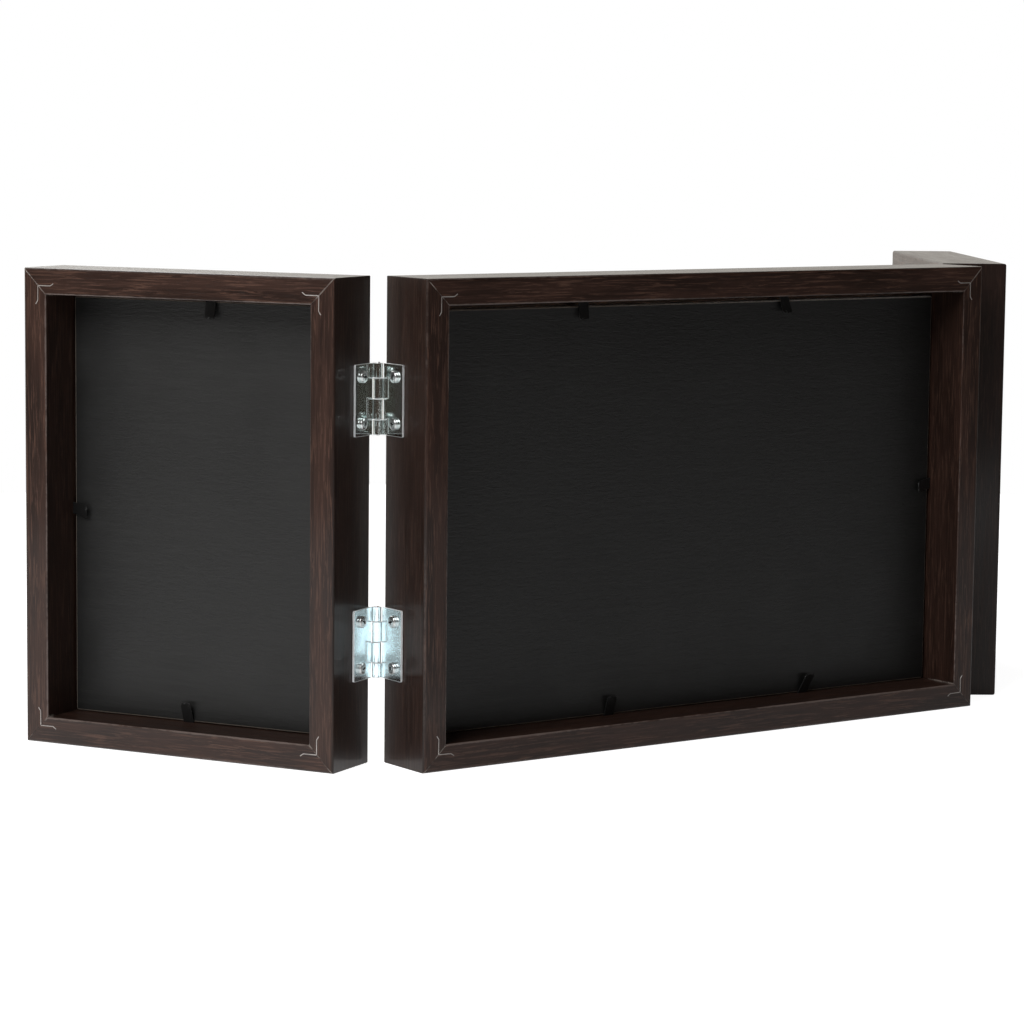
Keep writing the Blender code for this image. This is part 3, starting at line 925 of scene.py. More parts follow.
@dataclass
class Panel:
    """One box frame with its glass, paper, board, flex tabs and corner nails.

    The last three steps shift the grain from panel to panel and member to member, so that no two look alike.
    """

    name: str
    width: float
    placement: Matrix
    tabs: list[FlexTab]
    number: int
    moulding: Moulding = field(default_factory=Moulding)
    paper_front: float = 0.00692
    paper_thickness: float = 0.0003
    paper_radius: float = 0.0001
    paper_corner: float = 0.0004
    paper_edge_gap: float = 0.0010
    paper_lift: float = 0.0014
    paper_drop: float = 0.0004
    board_back: float = 0.0099
    board_thickness: float = 0.0025
    board_radius: float = 0.0007
    board_corner: float = 0.0009
    board_edge_gap: float = 0.0008
    board_top_gap: float = 0.0013
    seat_gap: float = 0.0003
    sheet_support: float = 0.0006
    highlight_length: float = 0.0
    highlight_fade: float = 0.012
    panel_step: float = 1.7
    member_step: float = 0.41
    sheet_step: float = 0.7

    def wall_matrix(self, wall: Wall) -> Matrix:
        """Placement in the panel of a frame whose X runs along a wall and whose Z points into the panel.

        Args:
            wall: The wall.

        Returns:
            The placement.
        """
        across = self.width if wall in (Wall.RIGHT, Wall.TOP) else 0.0
        up = self.moulding.height if wall in (Wall.TOP, Wall.LEFT) else 0.0
        return Matrix.Translation((across, 0.0, up)) @ Matrix.Rotation(wall.turn, 4, "Y")

    def length(self, wall: Wall) -> float:
        """Length of the member on a wall."""
        return self.width if wall in (Wall.BOTTOM, Wall.TOP) else self.moulding.height

    def build_members(self, finish: Material) -> None:
        """Builds the two rails and two stiles.

        Args:
            finish: Finish of the moulding.
        """
        for order, wall in enumerate(Wall):
            start = self.panel_step * self.number + self.member_step * order
            skin = self.moulding.member(self.length(wall), start)
            skin.points = placed(skin.points, self.placement @ self.wall_matrix(wall))
            skin.marks["arris"] = skin.marks["arris"] * wall.wear_and_highlight_weight
            node = f"{self.name}_{wall.member}"
            piece = make_piece(skin.mesh(f"{node}_wrapped"), finish, self.name)
            even_shading(piece)
            stand_in(piece, node)

    def slab(self, low: Pair, high: Pair, front: float, thickness: float, radius: float,
             corner: float) -> Skin:
        """A flat piece parallel to the panel: rings of a rounded rectangle drawn in by the edge radius.

        Args:
            low: Lower left corner in the panel.
            high: Upper right corner in the panel.
            front: Distance of its front face from the panel's front.
            thickness: Its thickness.
            radius: Radius of its edges.
            corner: Radius of its corners.

        Returns:
            The closed skin, placed in the row's frame, its edges marked.
        """
        outline = supported(rectangle(low, high, corner), self.sheet_support)
        inset, rise = edge_rings(thickness, radius)
        rings = outline[None] + inset[:, None, None] * outline_normals(outline)[None]
        height = np.broadcast_to((front + rise)[:, None], rings.shape[:2])
        points = np.stack([rings[..., 0], height, rings[..., 1]], axis=-1)
        # painted highlight: the top edge is marked above 1 near one corner
        edge = (inset < 0.9 * radius).astype(float)[:, None] * (1.0 + self.highlight_end(outline, high))[None]
        uv = np.concatenate([rings, rings[:, :1]], axis=1) + self.sheet_step * self.number
        return Skin(placed(points, self.placement), uv, {"edge": edge})

    def highlight_end(self, outline: np.ndarray, high: Pair) -> np.ndarray:
        """How strong the painted highlight on the top edge is: 1 near the upper left corner and 0 past the
        highlight length.
        """
        fade = np.clip((self.highlight_length - outline[:, 0]) / self.highlight_fade, 0.0, 1.0)
        return fade * (outline[:, 1] > high[1] - self.sheet_support)

    def build_fill(self, paper: Material, board: Material, glass: Material) -> None:
        """Builds the blank paper and the backboard, and dresses the pane.

        Args:
            paper: Finish of the paper.
            board: Finish of the board.
            glass: Finish of the pane.
        """
        wall, height = self.moulding.wall, self.moulding.height
        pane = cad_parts[f"{self.name}_glass"]
        pane.data.materials.clear()
        pane.data.materials.append(glass)
        LOG.info("%s: dressed with %s", pane.name, glass.name)
        top = height - wall - self.board_top_gap
        inset = wall + self.paper_edge_gap
        sheet = self.slab((inset, wall + self.paper_lift), (self.width - inset, top - self.paper_drop),
                          self.paper_front, self.paper_thickness, self.paper_radius, self.paper_corner)
        piece = make_piece(sheet.mesh(f"{self.name}_paper"), paper, self.name)
        LOG.info("%s: %d faces", piece.name, len(piece.data.polygons))
        inset = wall + self.board_edge_gap
        board_front = self.board_back - self.board_thickness
        slab = self.slab((inset, wall + self.seat_gap), (self.width - inset, top),
                         board_front, self.board_thickness, self.board_radius, self.board_corner)
        piece = make_piece(slab.mesh(f"{self.name}_faced_board"), board, self.name, sharp=50.0)
        even_shading(piece)
        stand_in(piece, f"{self.name}_backboard")

    def build_tabs(self, finish: Material) -> None:
        """Builds the flex tabs. Each rides on its own body.

        Args:
            finish: Finish of the tabs.
        """
        for tab in self.tabs:
            share = 1 - tab.share if tab.wall in (Wall.TOP, Wall.LEFT) else tab.share
            along = self.length(tab.wall) * share
            backward = self.board_back + tab.gap + tab.thickness / 2
            root = Matrix.Translation((along, backward, self.moulding.wall + tab.gap))
            lift = Matrix.Rotation(-radians(tab.lift), 4, "X")
            skin = tab.skin()
            skin.points = placed(skin.points, self.placement @ self.wall_matrix(tab.wall) @ root @ lift)
            node = f"{self.name}_{tab.name}_tab"
            piece = make_piece(skin.mesh(f"{node}_blade"), finish, node)
            stand_in(piece, node)

    def build_nails(self, finish: Material) -> None:
        """Drives a V-shaped nail across each mitre from the back.

        Args:
            finish: Finish of the nails.
        """
        corners = (("lower", "left"), ("lower", "right"), ("upper", "right"), ("upper", "left"))
        for order, (level, side) in enumerate(corners):
            points = CornerNail(self.moulding.depth, len(corners) * self.number + order).points()
            if side == "right":
                points[..., 0] = self.width - points[..., 0]
            if level == "upper":
                points[..., 2] = self.moulding.height - points[..., 2]
            name = f"{self.name}_{level}_{side}_corner_nail"
            piece = make_piece(Skin(placed(points, self.placement)).mesh(name), finish, self.name)
            LOG.info("%s: %d faces", name, len(piece.data.polygons))


@dataclass(frozen=True)
class CornerNail:
    """A V-shaped corner nail: a thin strip bent at the mitre, its ends bent back towards the outside.

    The spreads are those of the chance by which each nail is turned in radians, shifted and left proud.
    """

    back: float
    number: int
    vertex: float = 0.0072
    arm: float = 0.0062
    tip: float = 0.0018
    tip_bend: float = 35.0
    bend: float = 0.0004
    thickness: float = 0.00038
    driven: float = 0.006
    proud: float = 0.00004
    proud_spread: float = 0.00003
    seed: int = 40
    turn_spread: float = 0.018
    shift_spread: float = 0.00012

    def centre_line(self) -> np.ndarray:
        """Middle of the strip from the back: straight parts joined by quadratic curves at its three bends.

        Returns:
            Points measured inward from the two outer sides, shape (n, 2).
        """
        out = self.tip * np.array([cos(radians(self.tip_bend)), -sin(radians(self.tip_bend))])
        elbow = np.array([self.vertex + self.arm, self.vertex])
        chain = [(elbow + out)[::-1], elbow[::-1], np.full(2, self.vertex), elbow, elbow + out]
        share = np.linspace(0.0, 1.0, 9)[:, None]
        parts = [chain[0][None]]
        for before, corner, after in zip(chain, chain[1:], chain[2:]):
            start = corner + self.bend * (before - corner) / np.linalg.norm(before - corner)
            end = corner + self.bend * (after - corner) / np.linalg.norm(after - corner)
            parts.append((1 - share) ** 2 * start + 2 * share * (1 - share) * corner + share**2 * end)
        return np.concatenate([*parts, chain[-1][None]])

    def points(self) -> np.ndarray:
        """Rings of the strip from its driven to its proud edge: centre line, plus and minus half thickness.

        Returns:
            Grid of points in the panel, shape (rings, around, 3).
        """
        chance = np.random.default_rng(self.seed + self.number)
        turn, shift = chance.normal(0.0, self.turn_spread), chance.normal(0.0, self.shift_spread, 2)
        proud = self.proud + abs(chance.normal(0.0, self.proud_spread))
        spin = np.array([(cos(turn), -sin(turn)), (sin(turn), cos(turn))])
        line = (self.centre_line() - self.vertex) @ spin.T + self.vertex + shift
        along = np.gradient(line, axis=0)
        normal = np.column_stack([-along[:, 1], along[:, 0]]) / np.linalg.norm(along, axis=1, keepdims=True)
        point = np.array([0.0, 0.6]) * MM - self.driven
        top = proud - np.array([0.08, 0.02, 0.0]) * MM
        level = np.concatenate([point, [-MM], top])
        half = self.thickness / 2 * np.array([0.25, 1.0, 1.0, 1.0, 0.8, 0.45])
        offset = half[:, None, None] * normal
        flat = np.concatenate([line + offset, (line - offset)[:, ::-1]], axis=1)
        height = np.broadcast_to((self.back + level)[:, None], flat.shape[:2])
        return np.stack([flat[..., 0], height, flat[..., 1]], axis=-1)


# Hinges


class Leaf(Enum):
    """The two leaves of a hinge, with the numbers of their knuckles from the foot up."""

    CENTRE = (0, 2)
    WING = (1, 3)


@dataclass(frozen=True)
class Hinge:
    """A butt hinge with rolled knuckles, its pin and its four screws.

    The turns, in radians, are from one hinge, leaf or level to the next, so that no two screws look alike.
    The plate steps and row steps are where a leaf's mesh has extra columns behind the pin and extra rows.
    """

    name: str
    outward: int
    foot: float
    fixed: Matrix
    moving: Matrix
    wing: str
    height: float = 0.0293
    reach: float = 0.0165
    knuckle_radius: float = 0.0020
    sheet: float = 0.0009
    corner: float = 0.0006
    corner_rows: float = 0.0018
    notch_end: float = 0.0025
    end_knuckle: float = 0.0060
    knuckle_gap: float = 0.0003
    roll_gap: float = 0.00015
    roll_steps: int = 61
    edge_width: float = 0.00007
    pin_radius: float = 0.0010
    pin_end: float = 0.0004
    pin_shoulder: float = 0.0002
    rim: float = 0.00025
    screw_end_distance: float = 0.0051
    screw_setback: float = 0.0110
    screw_sink: float = 0.0002
    hinge_turn: float = 1.1
    leaf_turn: float = 2.3
    level_turn: float = 0.7
    plate_steps: tuple[float, ...] = (0.0006, 0.0014)
    outer_plate_steps: tuple[float, ...] = (0.0036, 0.006, 0.0085, 0.011, 0.0135)
    row_steps: tuple[float, ...] = (
        0.0010, 0.0018, 0.0035, 0.0085, 0.0115, 0.0172, 0.0200, 0.0258, 0.0275, 0.0283,
    )

    def spans(self) -> list[Pair]:
        """Lower and upper ends of the four knuckles.

        Returns:
            Four pairs of levels, from the foot up.
        """
        end, gap = self.end_knuckle, self.knuckle_gap
        middle = (self.height - 2 * end - 3 * gap) / 2
        ends = np.cumsum([end, middle, middle, end]) + gap * np.arange(4)
        starts = np.concatenate([[0.0], ends[:-1] + gap])
        return list(zip(starts, ends))

    def plate(self) -> np.ndarray:
        """Columns of the flat plate, as distances behind the pin, closest at its rounded free corners.

        Returns:
            Distances, shape (columns,).
        """
        corner = self.reach - self.corner + self.corner * np.array([0.0, 0.26, 0.5, 0.70, 0.85, 1.0])
        notch = (self.notch_end, self.notch_end + self.rim)
        return np.concatenate([self.plate_steps, notch, self.outer_plate_steps, corner])

    def rows(self, leaf: Leaf) -> np.ndarray:
        """Levels of the leaf's rows: the knuckles' ends, rows just inside the rims, and the row steps.

        Args:
            leaf: Which leaf it is.

        Returns:
            Levels in rising order.
        """
        spans, rim = self.spans(), self.rim
        ends = [edge for span in spans for edge in span][1:-1]
        rims = [edge for number in leaf.value for edge in (spans[number][0] + rim, spans[number][1] - rim)]
        levels = {0.0, rim, self.height - rim, self.height, *ends, *rims, *self.row_steps}
        return np.array(sorted(levels))

    def leaf_mesh(self, name: str, leaf: Leaf, side: int, placement: Matrix) -> Mesh:
        """A leaf as one bent sheet: a roll about the pin that runs on into a plate, notched at the knuckles.

        Its two faces are circles of the knuckle's outer and bore radius, (side * r cos t, -r sin t), then
        straight lines at the same distances from the pin. The free corners follow a quarter circle.

        Args:
            name: Name of the mesh.
            leaf: Which leaf it is.
            side: Which side of the pin the plate lies on, +1 or -1.
            placement: Placement of the hinge's foot.

        Returns:
            The mesh in place.
        """
        bore = self.knuckle_radius - self.sheet
        turn = np.linspace(2 * pi - acos((bore - self.roll_gap) / self.knuckle_radius), 0.0, self.roll_steps)
        plate, rows = self.plate(), self.rows(leaf)
        beyond = np.concatenate([np.full(len(turn), -1.0), plate])
        into_corner = np.clip(beyond - (self.reach - self.corner), 0.0, self.corner)
        drawn = self.corner - np.sqrt(np.clip(self.corner**2 - into_corner**2, 0.0, None))
        near_foot = np.clip(1 - rows / self.corner_rows, 0.0, 1.0)
        near_top = np.clip(1 - (self.height - rows) / self.corner_rows, 0.0, 1.0)
        heights = rows[None] + drawn[:, None] * (near_foot - near_top)[None]
        faces = []
        for radius in (self.knuckle_radius, bore):
            across = side * np.concatenate([radius * np.cos(turn), np.full(len(plate), radius)])
            backward = np.concatenate([-radius * np.sin(turn), plate])
            flat = (np.broadcast_to(line[:, None], heights.shape) for line in (across, backward))
            faces.append(placed(np.stack([*flat, heights], axis=-1), placement))
        middle = (rows[1:] + rows[:-1]) / 2
        notched = np.zeros(len(middle), bool)
        for number, (low, high) in enumerate(self.spans()):
            if number not in leaf.value:
                notched |= (middle > low - self.knuckle_gap) & (middle < high + self.knuckle_gap)
        in_knuckles = beyond[1:] < self.notch_end + self.rim / 2
        roll = np.broadcast_to((beyond < 0.0)[:, None], heights.shape).astype(float)
        return sheet_mesh(name, faces, ~(in_knuckles[:, None] & notched[None]), {"roll": roll})

    def pin_skin(self, placement: Matrix, around: int = 48) -> Skin:
        """The pin: circles about Z whose radius falls as a quarter ellipse over each domed end.

        Args:
            placement: Placement of the hinge's foot.
            around: Points in each circle.

        Returns:
            The closed skin.
        """
        angle = np.linspace(0.0, 0.5 * pi, 8)
        shaft = np.linspace(0.0, self.height, 6)
        shaft[[0, -1]] += (self.pin_shoulder, -self.pin_shoulder)
        dome, end = np.maximum(np.cos(angle), 0.02), self.pin_end * np.sin(angle)
        radius = self.pin_radius * np.concatenate([dome[::-1], np.ones(len(shaft)), dome])[:, None]
        level = np.concatenate([-end[::-1], shaft, self.height + end])[:, None]
        turn = np.linspace(0.0, 2 * pi, around, endpoint=False)
        across, up = radius * np.cos(turn), radius * np.sin(turn)
        return Skin(placed(np.stack([across, up, np.broadcast_to(level, across.shape)], axis=-1), placement))

    def build(self, zinc: Material, steel: Material, plated: Material, number: int) -> None:
        """Builds both leaves, the pin and the four screws.

        Args:
            zinc: Finish of the leaves.
            steel: Finish of the pin.
            plated: Finish of the screws.
            number: Number of the hinge, which turns its screws differently.
        """
        foot = Matrix.Translation((0.0, 0.0, self.foot))
        seat = self.knuckle_radius - self.sheet - self.screw_sink
        inset = self.screw_end_distance
        screws = (("lower", inset, 0.0), ("upper", self.height - inset, self.level_turn))
        parts = ((Leaf.CENTRE, -self.outward, self.fixed @ foot, "centre"),
                 (Leaf.WING, self.outward, self.moving @ foot, self.wing))
        for order, (leaf, side, placement, body) in enumerate(parts):
            part = f"{self.name}_{leaf.name.lower()}"
            mesh = self.leaf_mesh(f"{part}_leaf_rolled", leaf, side, placement)
            piece = make_piece(mesh, zinc, body, sharp=35.0)
            broken_edges(piece, self.edge_width)
            even_shading(piece)
            stand_in(piece, f"{part}_leaf")
            out = Matrix.Rotation(-side * pi / 2, 4, "Y")
            for level, height, turn in screws:
                skin = Screw(self.hinge_turn * number + self.leaf_turn * order + turn).skin()
                place = Matrix.Translation((side * seat, self.screw_setback, height))
                skin.points = placed(skin.points, placement @ place @ out)
                piece = make_piece(skin.mesh(f"{part}_{level}_screw_crosshead"), plated, body, sharp=45.0)
                stand_in(piece, f"{part}_{level}_screw")
        mesh = self.pin_skin(self.fixed @ foot).mesh(f"{self.name}_pin_domed")
        stand_in(make_piece(mesh, steel, "centre", sharp=50.0), f"{self.name}_pin")


@dataclass(frozen=True)
class Screw:
    """A round-head wood screw with a cross recess, along Z with the underside of its head at the origin."""

    turn: float
    head_radius: float = 0.0025
    head_height: float = 0.0015
    crown: float = 0.68
    rim: float = 0.0003
    skirt: float = 0.00019
    chamfer: float = 0.00006
    shank_radius: float = 0.0012
    shank_length: float = 0.0085
    shank_rings: int = 58
    neck: float = 0.00002
    point: float = 0.0022
    pitch: float = 0.0011
    ridge: float = 0.00028
    ridge_root: float = 0.00026
    ridge_share: float = 0.28
    arm: float = 0.00145
    arm_half: float = 0.00032
    recess: float = 0.00095
    recess_core: float = 0.00062
    recess_ease: float = 0.00012
    around: int = 96

    def shank(self, angle: np.ndarray) -> tuple[np.ndarray, np.ndarray]:
        """Rings of the shank: a core that tapers to a point, with a ridge that climbs one pitch a turn.

        Args:
            angle: Angles about the axis, shape (around,).

        Returns:
            Radii and levels, each of shape (rings, around).
        """
        level = np.linspace(-self.shank_length, -self.skirt - self.neck, self.shank_rings)[:, None]
        taper = np.clip((level + self.shank_length) / self.point, 0.02, 1.0)
        phase = (level / self.pitch - angle / (2 * pi)) % 1.0
        ridge = self.ridge * np.maximum(0.0, 1 - np.abs(phase - 0.5) / self.ridge_share)
        radii = (self.shank_radius - self.ridge_root) * taper + ridge * np.minimum(1.0, 1.6 * taper)
        return radii, np.broadcast_to(level, radii.shape)

    def head(self, angle: np.ndarray) -> tuple[np.ndarray, np.ndarray, np.ndarray]:
        """Rings of the head above its rim: a flattened quarter ellipse, lowered by the recess.

        The ellipse is radius * cos(a) ** crown and height * sin(a) ** crown. The recess eases in over a
        distance inside a cross with tapering arms and a round core, and is shallowest at the arms' ends.

        Args:
            angle: Angles about the axis, shape (around,).

        Returns:
            Radii, levels and how deep each point lies in the recess, each of shape (rings, around).
        """
        share = np.concatenate([np.linspace(0.0, 0.5, 12)[1:], np.linspace(0.5, 1.0, 40)[1:]])
        dome = share[:, None] * 0.5 * pi
        radii = self.head_radius * np.maximum(np.abs(np.cos(dome)) ** self.crown, 0.004)
        rise = self.rim + (self.head_height - self.rim) * np.sin(dome) ** self.crown
        across, up = np.abs(radii * np.cos(angle + self.turn)), np.abs(radii * np.sin(angle + self.turn))
        long, short = np.maximum(across, up), np.minimum(across, up)
        inside = np.minimum(self.arm_half * (1 - 0.25 * long / self.arm) - short, self.arm - long)
        inside = np.maximum(inside, self.recess_core - np.hypot(across, up))
        ease = np.clip(inside / self.recess_ease + 0.2, 0.0, 1.0)
        ease = ease * ease * (3 - 2 * ease)
        depth = self.recess * (1 - 0.5 * (long / self.arm) ** 2).clip(0.2, 1.0)
        return np.broadcast_to(radii, ease.shape), rise - ease * depth, ease

    def skin(self) -> Skin:
        """Rings of the screw from its point to its crown, and how much painted shade each point gets in the
        recess.

        Returns:
            The closed skin, standing on the origin.
        """
        angle = np.linspace(0.0, 2 * pi, self.around, endpoint=False)
        collar = np.array([
            (self.shank_radius, -self.skirt), (self.head_radius - self.chamfer, -self.skirt),
            (self.head_radius, -self.skirt + self.chamfer), (self.head_radius, self.rim),
        ])
        shank_radii, shank_levels = self.shank(angle)
        head_radii, head_levels, dark = self.head(angle)
        collar_radii, collar_levels = (np.tile(line[:, None], self.around) for line in collar.T)
        radii = np.concatenate([shank_radii, collar_radii, head_radii])
        levels = np.concatenate([shank_levels, collar_levels, head_levels])
        # painted shade in the recess, as strong as the point lies deep in it
        recess_shade = np.concatenate([np.zeros((len(levels) - len(dark), self.around)), dark])
        points = np.stack([radii * np.cos(angle), radii * np.sin(angle), levels], axis=-1)
        return Skin(points, marks={"recess_shade": recess_shade})


# Studio


@dataclass(frozen=True)
class Lamp:
    """A large soft lamp aimed at the frame, its azimuth taken from +X towards +Y, in degrees and watts."""

    name: str
    azimuth: float
    elevation: float
    power: float
    distance: float = 1.6
    size: float = 0.9
    aim: Triple = (0.0, 0.0, 0.1)

    def build(self) -> None:
        """Places the lamp and turns it to the middle of the frame."""
        azimuth, elevation = radians(self.azimuth), radians(self.elevation)
        towards = Vector((cos(elevation) * cos(azimuth), cos(elevation) * sin(azimuth), sin(elevation)))
        data = bpy.data.lights.new(self.name, "AREA")
        data.energy, data.size, data.shape = self.power, self.size, "SQUARE"
        lamp = add_object(self.name, data)
        lamp.location = Vector(self.aim) + self.distance * towards
        lamp.rotation_mode = "QUATERNION"
        lamp.rotation_quaternion = (-towards).to_track_quat("-Z", "Y")


@dataclass(frozen=True)
class Studio:
    """Pale floor, two large soft lamps, a plain world and the camera at the photograph's viewing angle.

    Each pair is where a soft change starts and ends, or the lower and the higher of two values.
    """

    camera_place: Triple = (0.8935, 1.1251, 0.2627)
    yaw: float = -35.299
    pitch: float = -6.647
    roll: float = 0.599
    focal_length: float = 117.99
    lamps: tuple[Lamp, ...] = (Lamp("back_lamp", 20.0, 38.0, 17.5), Lamp("front_lamp", -96.0, 36.0, 9.0))
    white: Colour = (1.0, 1.0, 1.0)
    ambient: Colour = (0.05, 0.05, 0.05)
    pale_room: Colour = (0.90, 0.86, 0.79)
    dark_room: Colour = (0.052, 0.038, 0.030)
    room_edge: Pair = (-0.50, -0.15)
    floor_radius: float = 1.0
    floor_corners: int = 96
    floor_levels: Pair = (-0.02, -0.0002)
    floor_tones: tuple[Colour, Colour] = ((0.72, 0.72, 0.72), (0.70, 0.70, 0.70))
    floor_glow: float = 0.95
    mirrored_glow: Pair = (0.36, 1.0)
    beside: Pair = (0.12, 0.18)
    right_half: Pair = (0.02, 0.08)
    behind: Pair = (0.08, 0.13)

    def build_camera(self) -> None:
        """Sets the camera: it looks along its yaw and pitch, then rolls about its line of sight."""
        yaw, pitch, roll = radians(self.yaw), radians(self.pitch), radians(self.roll)
        ahead = Vector((cos(pitch) * sin(yaw), -cos(pitch) * cos(yaw), sin(pitch)))
        level = ahead.cross(Vector((0.0, 0.0, 1.0))).normalized()
        above = level.cross(ahead)
        right = level * cos(roll) + above * sin(roll)
        up = above * cos(roll) - level * sin(roll)
        data = bpy.data.cameras.new("camera")
        data.lens, data.sensor_width = self.focal_length, 36.0
        camera = add_object("camera", data)
        turned = Matrix((right, up, -ahead)).transposed().to_4x4()
        camera.matrix_world = Matrix.Translation(self.camera_place) @ turned
        bpy.context.scene.camera = camera

    def build_world(self) -> None:
        """Makes the world: white to the camera, and in reflections pale ahead of the frame, dark behind."""
        graph = Graph(bpy.data.worlds.new("plain_studio"))
        bpy.context.scene.world = graph.owner
        behind = graph.span(graph.axis(graph.place("Generated"), "Y"), *self.room_edge)
        mirrored = graph.mix(behind, self.pale_room, self.dark_room)
        light = graph.mix(graph.ray("Glossy"), self.ambient, mirrored)
        light = graph.mix(graph.ray("Transmission"), light, mirrored)
        shown = graph.mix(graph.ray("Camera"), light, self.white)
        graph.feed(graph.tree.nodes["Background"].inputs["Color"], shown)

    def build_floor(self) -> None:
        """Lays a pale round floor that shows white but keeps the frame's shadow.

        Mirrored, it glows brightly right of the centre and behind its right half, and less elsewhere.
        """
        angle = np.linspace(0.0, 2 * pi, self.floor_corners, endpoint=False)
        ring = self.floor_radius * np.column_stack([np.cos(angle), np.sin(angle)])
        levels = [np.column_stack([ring, np.full(self.floor_corners, level)]) for level in self.floor_levels]
        mesh = Skin(np.stack(levels)).mesh("floor")
        graph = Graph(bpy.data.materials.new("pale_floor"))
        across, backward = (graph.axis(graph.place(), name) for name in "XY")
        near, far = self.mirrored_glow
        beside = graph.span(across, *self.beside)
        behind = graph.times(graph.span(across, *self.right_half), graph.span(backward, *self.behind))
        pale = graph.math("MULTIPLY_ADD", graph.math("MAXIMUM", beside, behind), far - near, near)
        seen = graph.math("MAXIMUM", graph.ray("Camera"), graph.ray("Transmission"))
        glow = graph.plus(graph.times(seen, self.floor_glow), graph.times(graph.ray("Glossy"), pale))
        cloud = graph.noise(graph.place(), scale=3.0, detail=2.0)
        graph.set(base_color=graph.mix(cloud, *self.floor_tones), roughness=0.9,
                  emission_color=(*self.white, 1.0), emission_strength=glow)
        mesh.materials.append(graph.owner)
        floor = add_object("floor", mesh)

    def build(self) -> None:
        """Builds the whole studio."""
        bpy.context.scene.view_settings.view_transform = "Standard"
        self.build_camera()
        for lamp in self.lamps:
            lamp.build()
        self.build_world()
        self.build_floor()


# The row of panels


class Side(Enum):
    """The two sides of the row, with the direction along X that points outward."""

    LEFT = -1
    RIGHT = 1


CENTRE_TABS: list[FlexTab] = [
    FlexTab("top_left", Wall.TOP, 0.332, 14.0, 6.0),
    FlexTab("top_right", Wall.TOP, 0.694, 12.0, -5.0),
    FlexTab("bottom_left", Wall.BOTTOM, 0.281, 15.0, -18.0),
    FlexTab("bottom_right", Wall.BOTTOM, 0.640, 12.0, -3.0),
    FlexTab("left", Wall.LEFT, 0.505, 12.0, 8.0),
    FlexTab("right", Wall.RIGHT, 0.500, 10.0, 0.0),
]
LEFT_TABS: list[FlexTab] = [
    FlexTab("top", Wall.TOP, 0.520, 10.0, 0.0),
    FlexTab("bottom", Wall.BOTTOM, 0.480, 12.0, 0.0),
    FlexTab("outer", Wall.LEFT, 0.495, 11.0, 0.0),
    FlexTab("hinge_side", Wall.RIGHT, 0.500, 10.0, 0.0),
]
RIGHT_TABS: list[FlexTab] = [
    FlexTab("top", Wall.TOP, 0.467, 10.0, 2.0),
    FlexTab("bottom", Wall.BOTTOM, 0.540, 13.0, 3.0),
    FlexTab("outer", Wall.RIGHT, 0.490, 14.0, -8.0),
    FlexTab("hinge_side", Wall.LEFT, 0.500, 10.0, 0.0),
]


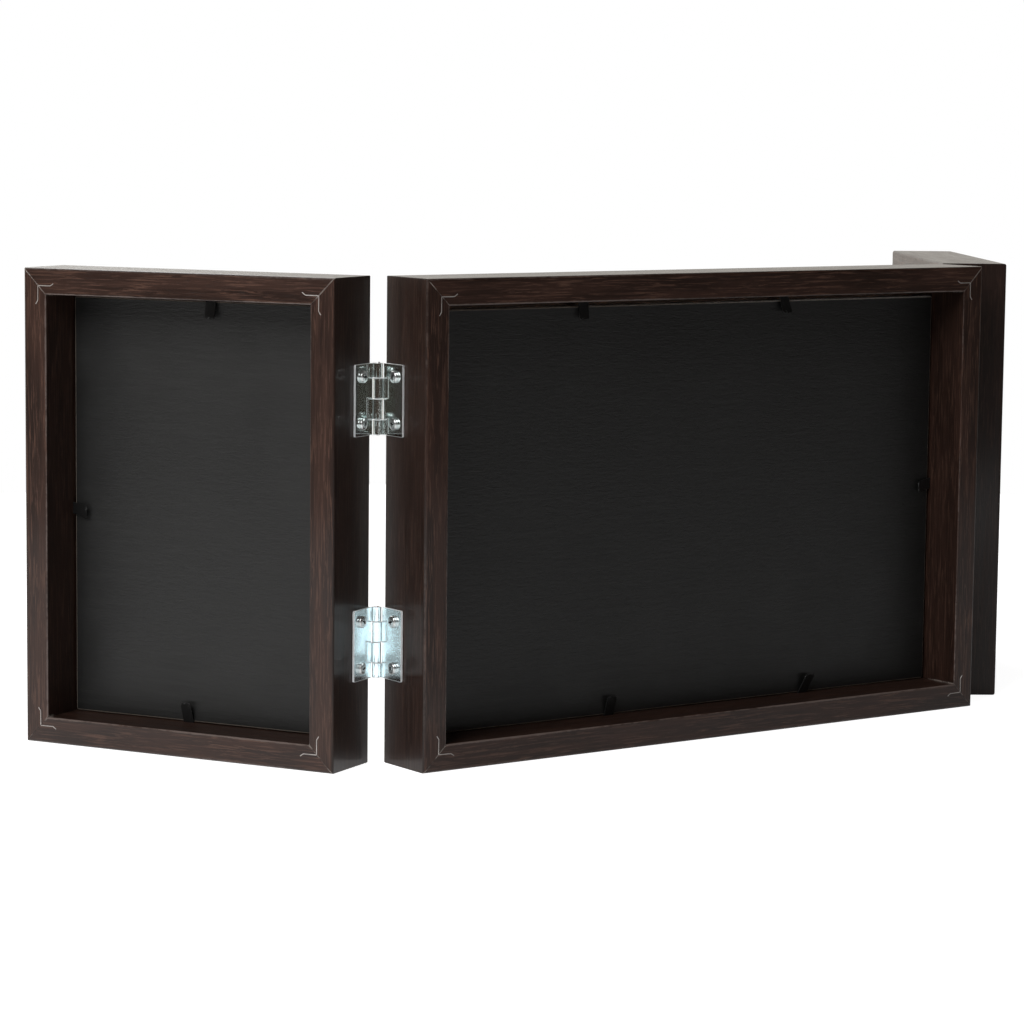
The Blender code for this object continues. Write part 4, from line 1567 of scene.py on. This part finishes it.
@dataclass(frozen=True)
class Row:
    """The wide centre panel with a wing hinged to the front of each side, folded by degrees from flat."""

    centre_width: float = 0.300
    wing_width: float = 0.149
    height: float = Moulding.height
    front: float = -Moulding.depth / 2
    pin_beside: float = 0.0022
    pin_ahead: float = 0.0021
    left_fold: float = 57.0
    right_fold: float = 62.0
    hinge_shares: tuple[tuple[str, float], ...] = (("lower", 0.25), ("upper", 0.75))
    highlight_length: float = 0.055
    centre_top_gap: float = 0.0029

    def pin(self, side: Side) -> Matrix:
        """Placement of a side's turning axis, at the height of the floor."""
        across = side.value * (self.centre_width / 2 + self.pin_beside)
        return Matrix.Translation((across, self.front - self.pin_ahead, 0.0))

    def folded(self, side: Side) -> Matrix:
        """Placement of a wing's side of the turning axis, turned by its fold."""
        fold = self.left_fold if side is Side.LEFT else self.right_fold
        return self.pin(side) @ Matrix.Rotation(radians(-side.value * fold), 4, "Z")

    def panels(self) -> list[Panel]:
        """The centre, the left wing and the right wing.

        Returns:
            The three panels in their places.
        """
        centre = Matrix.Translation((-self.centre_width / 2, self.front, 0.0))
        left = Matrix.Translation((-self.pin_beside - self.wing_width, self.pin_ahead, 0.0))
        right = Matrix.Translation((self.pin_beside, self.pin_ahead, 0.0))
        return [
            Panel("centre", self.centre_width, centre, CENTRE_TABS, 0, board_top_gap=self.centre_top_gap,
                  highlight_length=self.highlight_length),
            Panel("left_wing", self.wing_width, self.folded(Side.LEFT) @ left, LEFT_TABS, 1),
            Panel("right_wing", self.wing_width, self.folded(Side.RIGHT) @ right, RIGHT_TABS, 2),
        ]

    def hinge(self, side: Side, level: str, share: float) -> Hinge:
        """A side's hinge whose middle is at a share of the height.

        Args:
            side: Which side it is on.
            level: Word for its level, which its name holds.
            share: Share of the height.

        Returns:
            The hinge.
        """
        word, foot = side.name.lower(), share * self.height - Hinge.height / 2
        pins = (self.pin(side), self.folded(side))
        return Hinge(f"{word}_{level}_hinge", side.value, foot, *pins, f"{word}_wing")


def main() -> None:
    """Builds the studio, the panels and the hinges."""
    logging.basicConfig(level=logging.INFO, format="%(message)s")
    Studio().build()
    wood, board, paper = WrappedWood().material(), BlackBoard().material(), BlankPaper().material()
    glass, tab = ClearGlass().material(), BlackenedSteel().material()
    satin = BrightMetal("satin_zinc", (0.86, 0.965, 0.99), (0.72, 0.815, 0.85), (0.17, 0.26))
    polished = BrightMetal("polished_zinc", (0.82, 0.89, 0.88), (0.68, 0.74, 0.73), (0.06, 0.12))
    zinc = {"lower": satin.material(), "upper": polished.material()}
    pin_steel = BrightMetal("drawn_steel", (0.64, 0.65, 0.66), (0.50, 0.50, 0.51), (0.18, 0.30)).material()
    plated = BrightMetal("plated_screw", (0.56, 0.58, 0.58), (0.40, 0.41, 0.41), (0.24, 0.36)).material()
    nail = BrightMetal("galvanised_nail", (0.47, 0.44, 0.42), (0.24, 0.225, 0.215), (0.40, 0.60),
                       relief=0.00002, wave=900.0).material()

    row = Row()
    for panel in row.panels():
        panel.build_members(wood)
        panel.build_fill(paper, board, glass)
        panel.build_tabs(tab)
        panel.build_nails(nail)
    number = 0
    for side in Side:
        for level, share in row.hinge_shares:
            row.hinge(side, level, share).build(zinc[level], pin_steel, plated, number)
            number += 1


if __name__ == "__main__":
    main()
